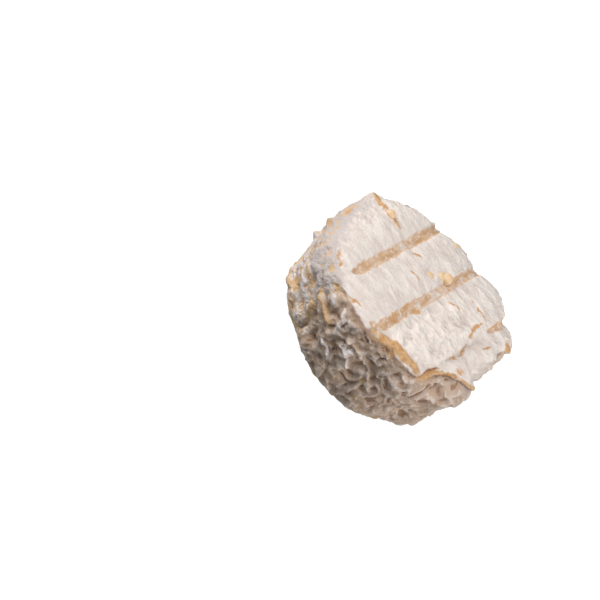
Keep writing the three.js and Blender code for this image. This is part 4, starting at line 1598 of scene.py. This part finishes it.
@dataclass
class Studio:
    """The floor, the lights and the camera, in metres and degrees."""

    floor: FloorFinish
    floor_side: float = 6.0
    ambient: float = 0.16
    lamps: tuple[Lamp, ...] = (
        Lamp("key_light", (-0.28, -0.28, 0.92), 1.2, 10.2, Softness.MEDIUM, (1.0, 0.99, 0.98)),
        Lamp("left_wash", (-0.99, -0.1, 0.05), 1.2, 15.0, Softness.BROAD, (1.0, 0.97, 0.94)),
        Lamp("fill_light", (0.95, -0.2, 0.22), 1.2, 11.6, Softness.BROAD, (1.0, 0.99, 0.98)),
    )
    elevation: float = 39.0
    roll: float = 52.0
    distance: float = 0.7
    pixels_per_mm: float = 3.2
    image_side: float = 600.0
    sensor: float = 36.0
    aim_height: float = 0.02
    aim_pixel: tuple[float, float] = (386.8, 319.6)

    def lay_floor(self) -> bpy.types.Object:
        """Lays a plain floor under the cheese.

        Returns:
            The floor.
        """
        deselect()
        bpy.ops.mesh.primitive_plane_add(size=self.floor_side, location=(0, 0, 0))
        plane = bpy.context.object
        plane.name = "studio_floor"
        plane.data.materials.append(self.floor.material())
        plane.visible_diffuse = False
        return plane

    def hang_lamps(self) -> None:
        """Hangs the area lights, each facing the cheese."""
        aim = Vector((0, 0, self.aim_height))
        for lamp in self.lamps:
            direction = Vector(lamp.towards).normalized()
            light = bpy.data.lights.new(lamp.name, "AREA")
            light.shape = "DISK"
            light.size = lamp.softness.value
            light.energy = lamp.power
            light.color = lamp.tint
            holder = bpy.data.objects.new(lamp.name, light)
            holder.location = aim + direction * lamp.distance
            holder.rotation_mode = "QUATERNION"
            holder.rotation_quaternion = direction.to_track_quat("Z", "Y")
            bpy.context.scene.collection.objects.link(holder)

    def fill_air(self) -> None:
        """Sets an even light from all round, and plain colours in the picture."""
        world = bpy.data.worlds.new("studio_air")
        world.use_nodes = True
        sky = world.node_tree.nodes["Background"]
        sky.inputs["Color"].default_value = (1, 1, 1, 1)
        sky.inputs["Strength"].default_value = self.ambient
        bpy.context.scene.world = world
        bpy.context.scene.view_settings.view_transform = "Standard"

    def place_camera(self) -> bpy.types.Object:
        """Places the camera at the picture's angle, rolled, with the cheese off centre.

        Returns:
            The camera.
        """
        tilt = math.radians(self.elevation)
        roll = math.radians(self.roll)
        back = Vector((0, -math.cos(tilt), math.sin(tilt)))
        plain_up = Vector((0, math.sin(tilt), math.cos(tilt)))
        plain_right = Vector((1, 0, 0))
        right = plain_right * math.cos(roll) + plain_up * math.sin(roll)
        up = plain_up * math.cos(roll) - plain_right * math.sin(roll)
        straight = self.turned(right, up, back)
        focal = self.pixels_per_mm * self.distance / MM
        half = self.image_side / 2
        off = Vector((self.aim_pixel[0] - half, half - self.aim_pixel[1], -focal))
        swing = Vector((0, 0, -1)).rotation_difference(off)
        data = bpy.data.cameras.new("portrait_camera")
        data.sensor_width = self.sensor
        data.lens = focal * self.sensor / self.image_side
        camera = bpy.data.objects.new("portrait_camera", data)
        camera.location = Vector((0, 0, self.aim_height)) + back * self.distance
        camera.rotation_mode = "QUATERNION"
        camera.rotation_quaternion = straight @ swing.inverted()
        bpy.context.scene.collection.objects.link(camera)
        bpy.context.scene.camera = camera
        return camera

    def turned(self, right: Vector, up: Vector, back: Vector) -> Quaternion:
        """The rotation whose axes are the three given ones.

        Args:
            right: Where the picture's right points.
            up: Where its up points.
            back: Where the camera's back points.

        Returns:
            The rotation.
        """
        return Matrix((right, up, back)).transposed().to_quaternion()

    def build(self) -> None:
        """Makes the camera, the floor and the light."""
        self.place_camera()
        self.lay_floor()
        self.hang_lamps()
        self.fill_air()


def main() -> None:
    """Builds the studio, the cheese and its drops, in that order."""
    logging.basicConfig(level=logging.INFO, format="%(name)s: %(message)s")
    Studio(FloorFinish()).build()
    log.info("studio ready")
    skin = CheeseSkin(CheeseForm(), RindFinish()).build()
    log.info("%s: %d vertices", skin.name, len(skin.data.vertices))
    for drop in WheyDrops(WheyFinish()).build():
        log.info("%s: %d vertices", drop.name, len(drop.data.vertices))


if __name__ == "__main__":
    main()
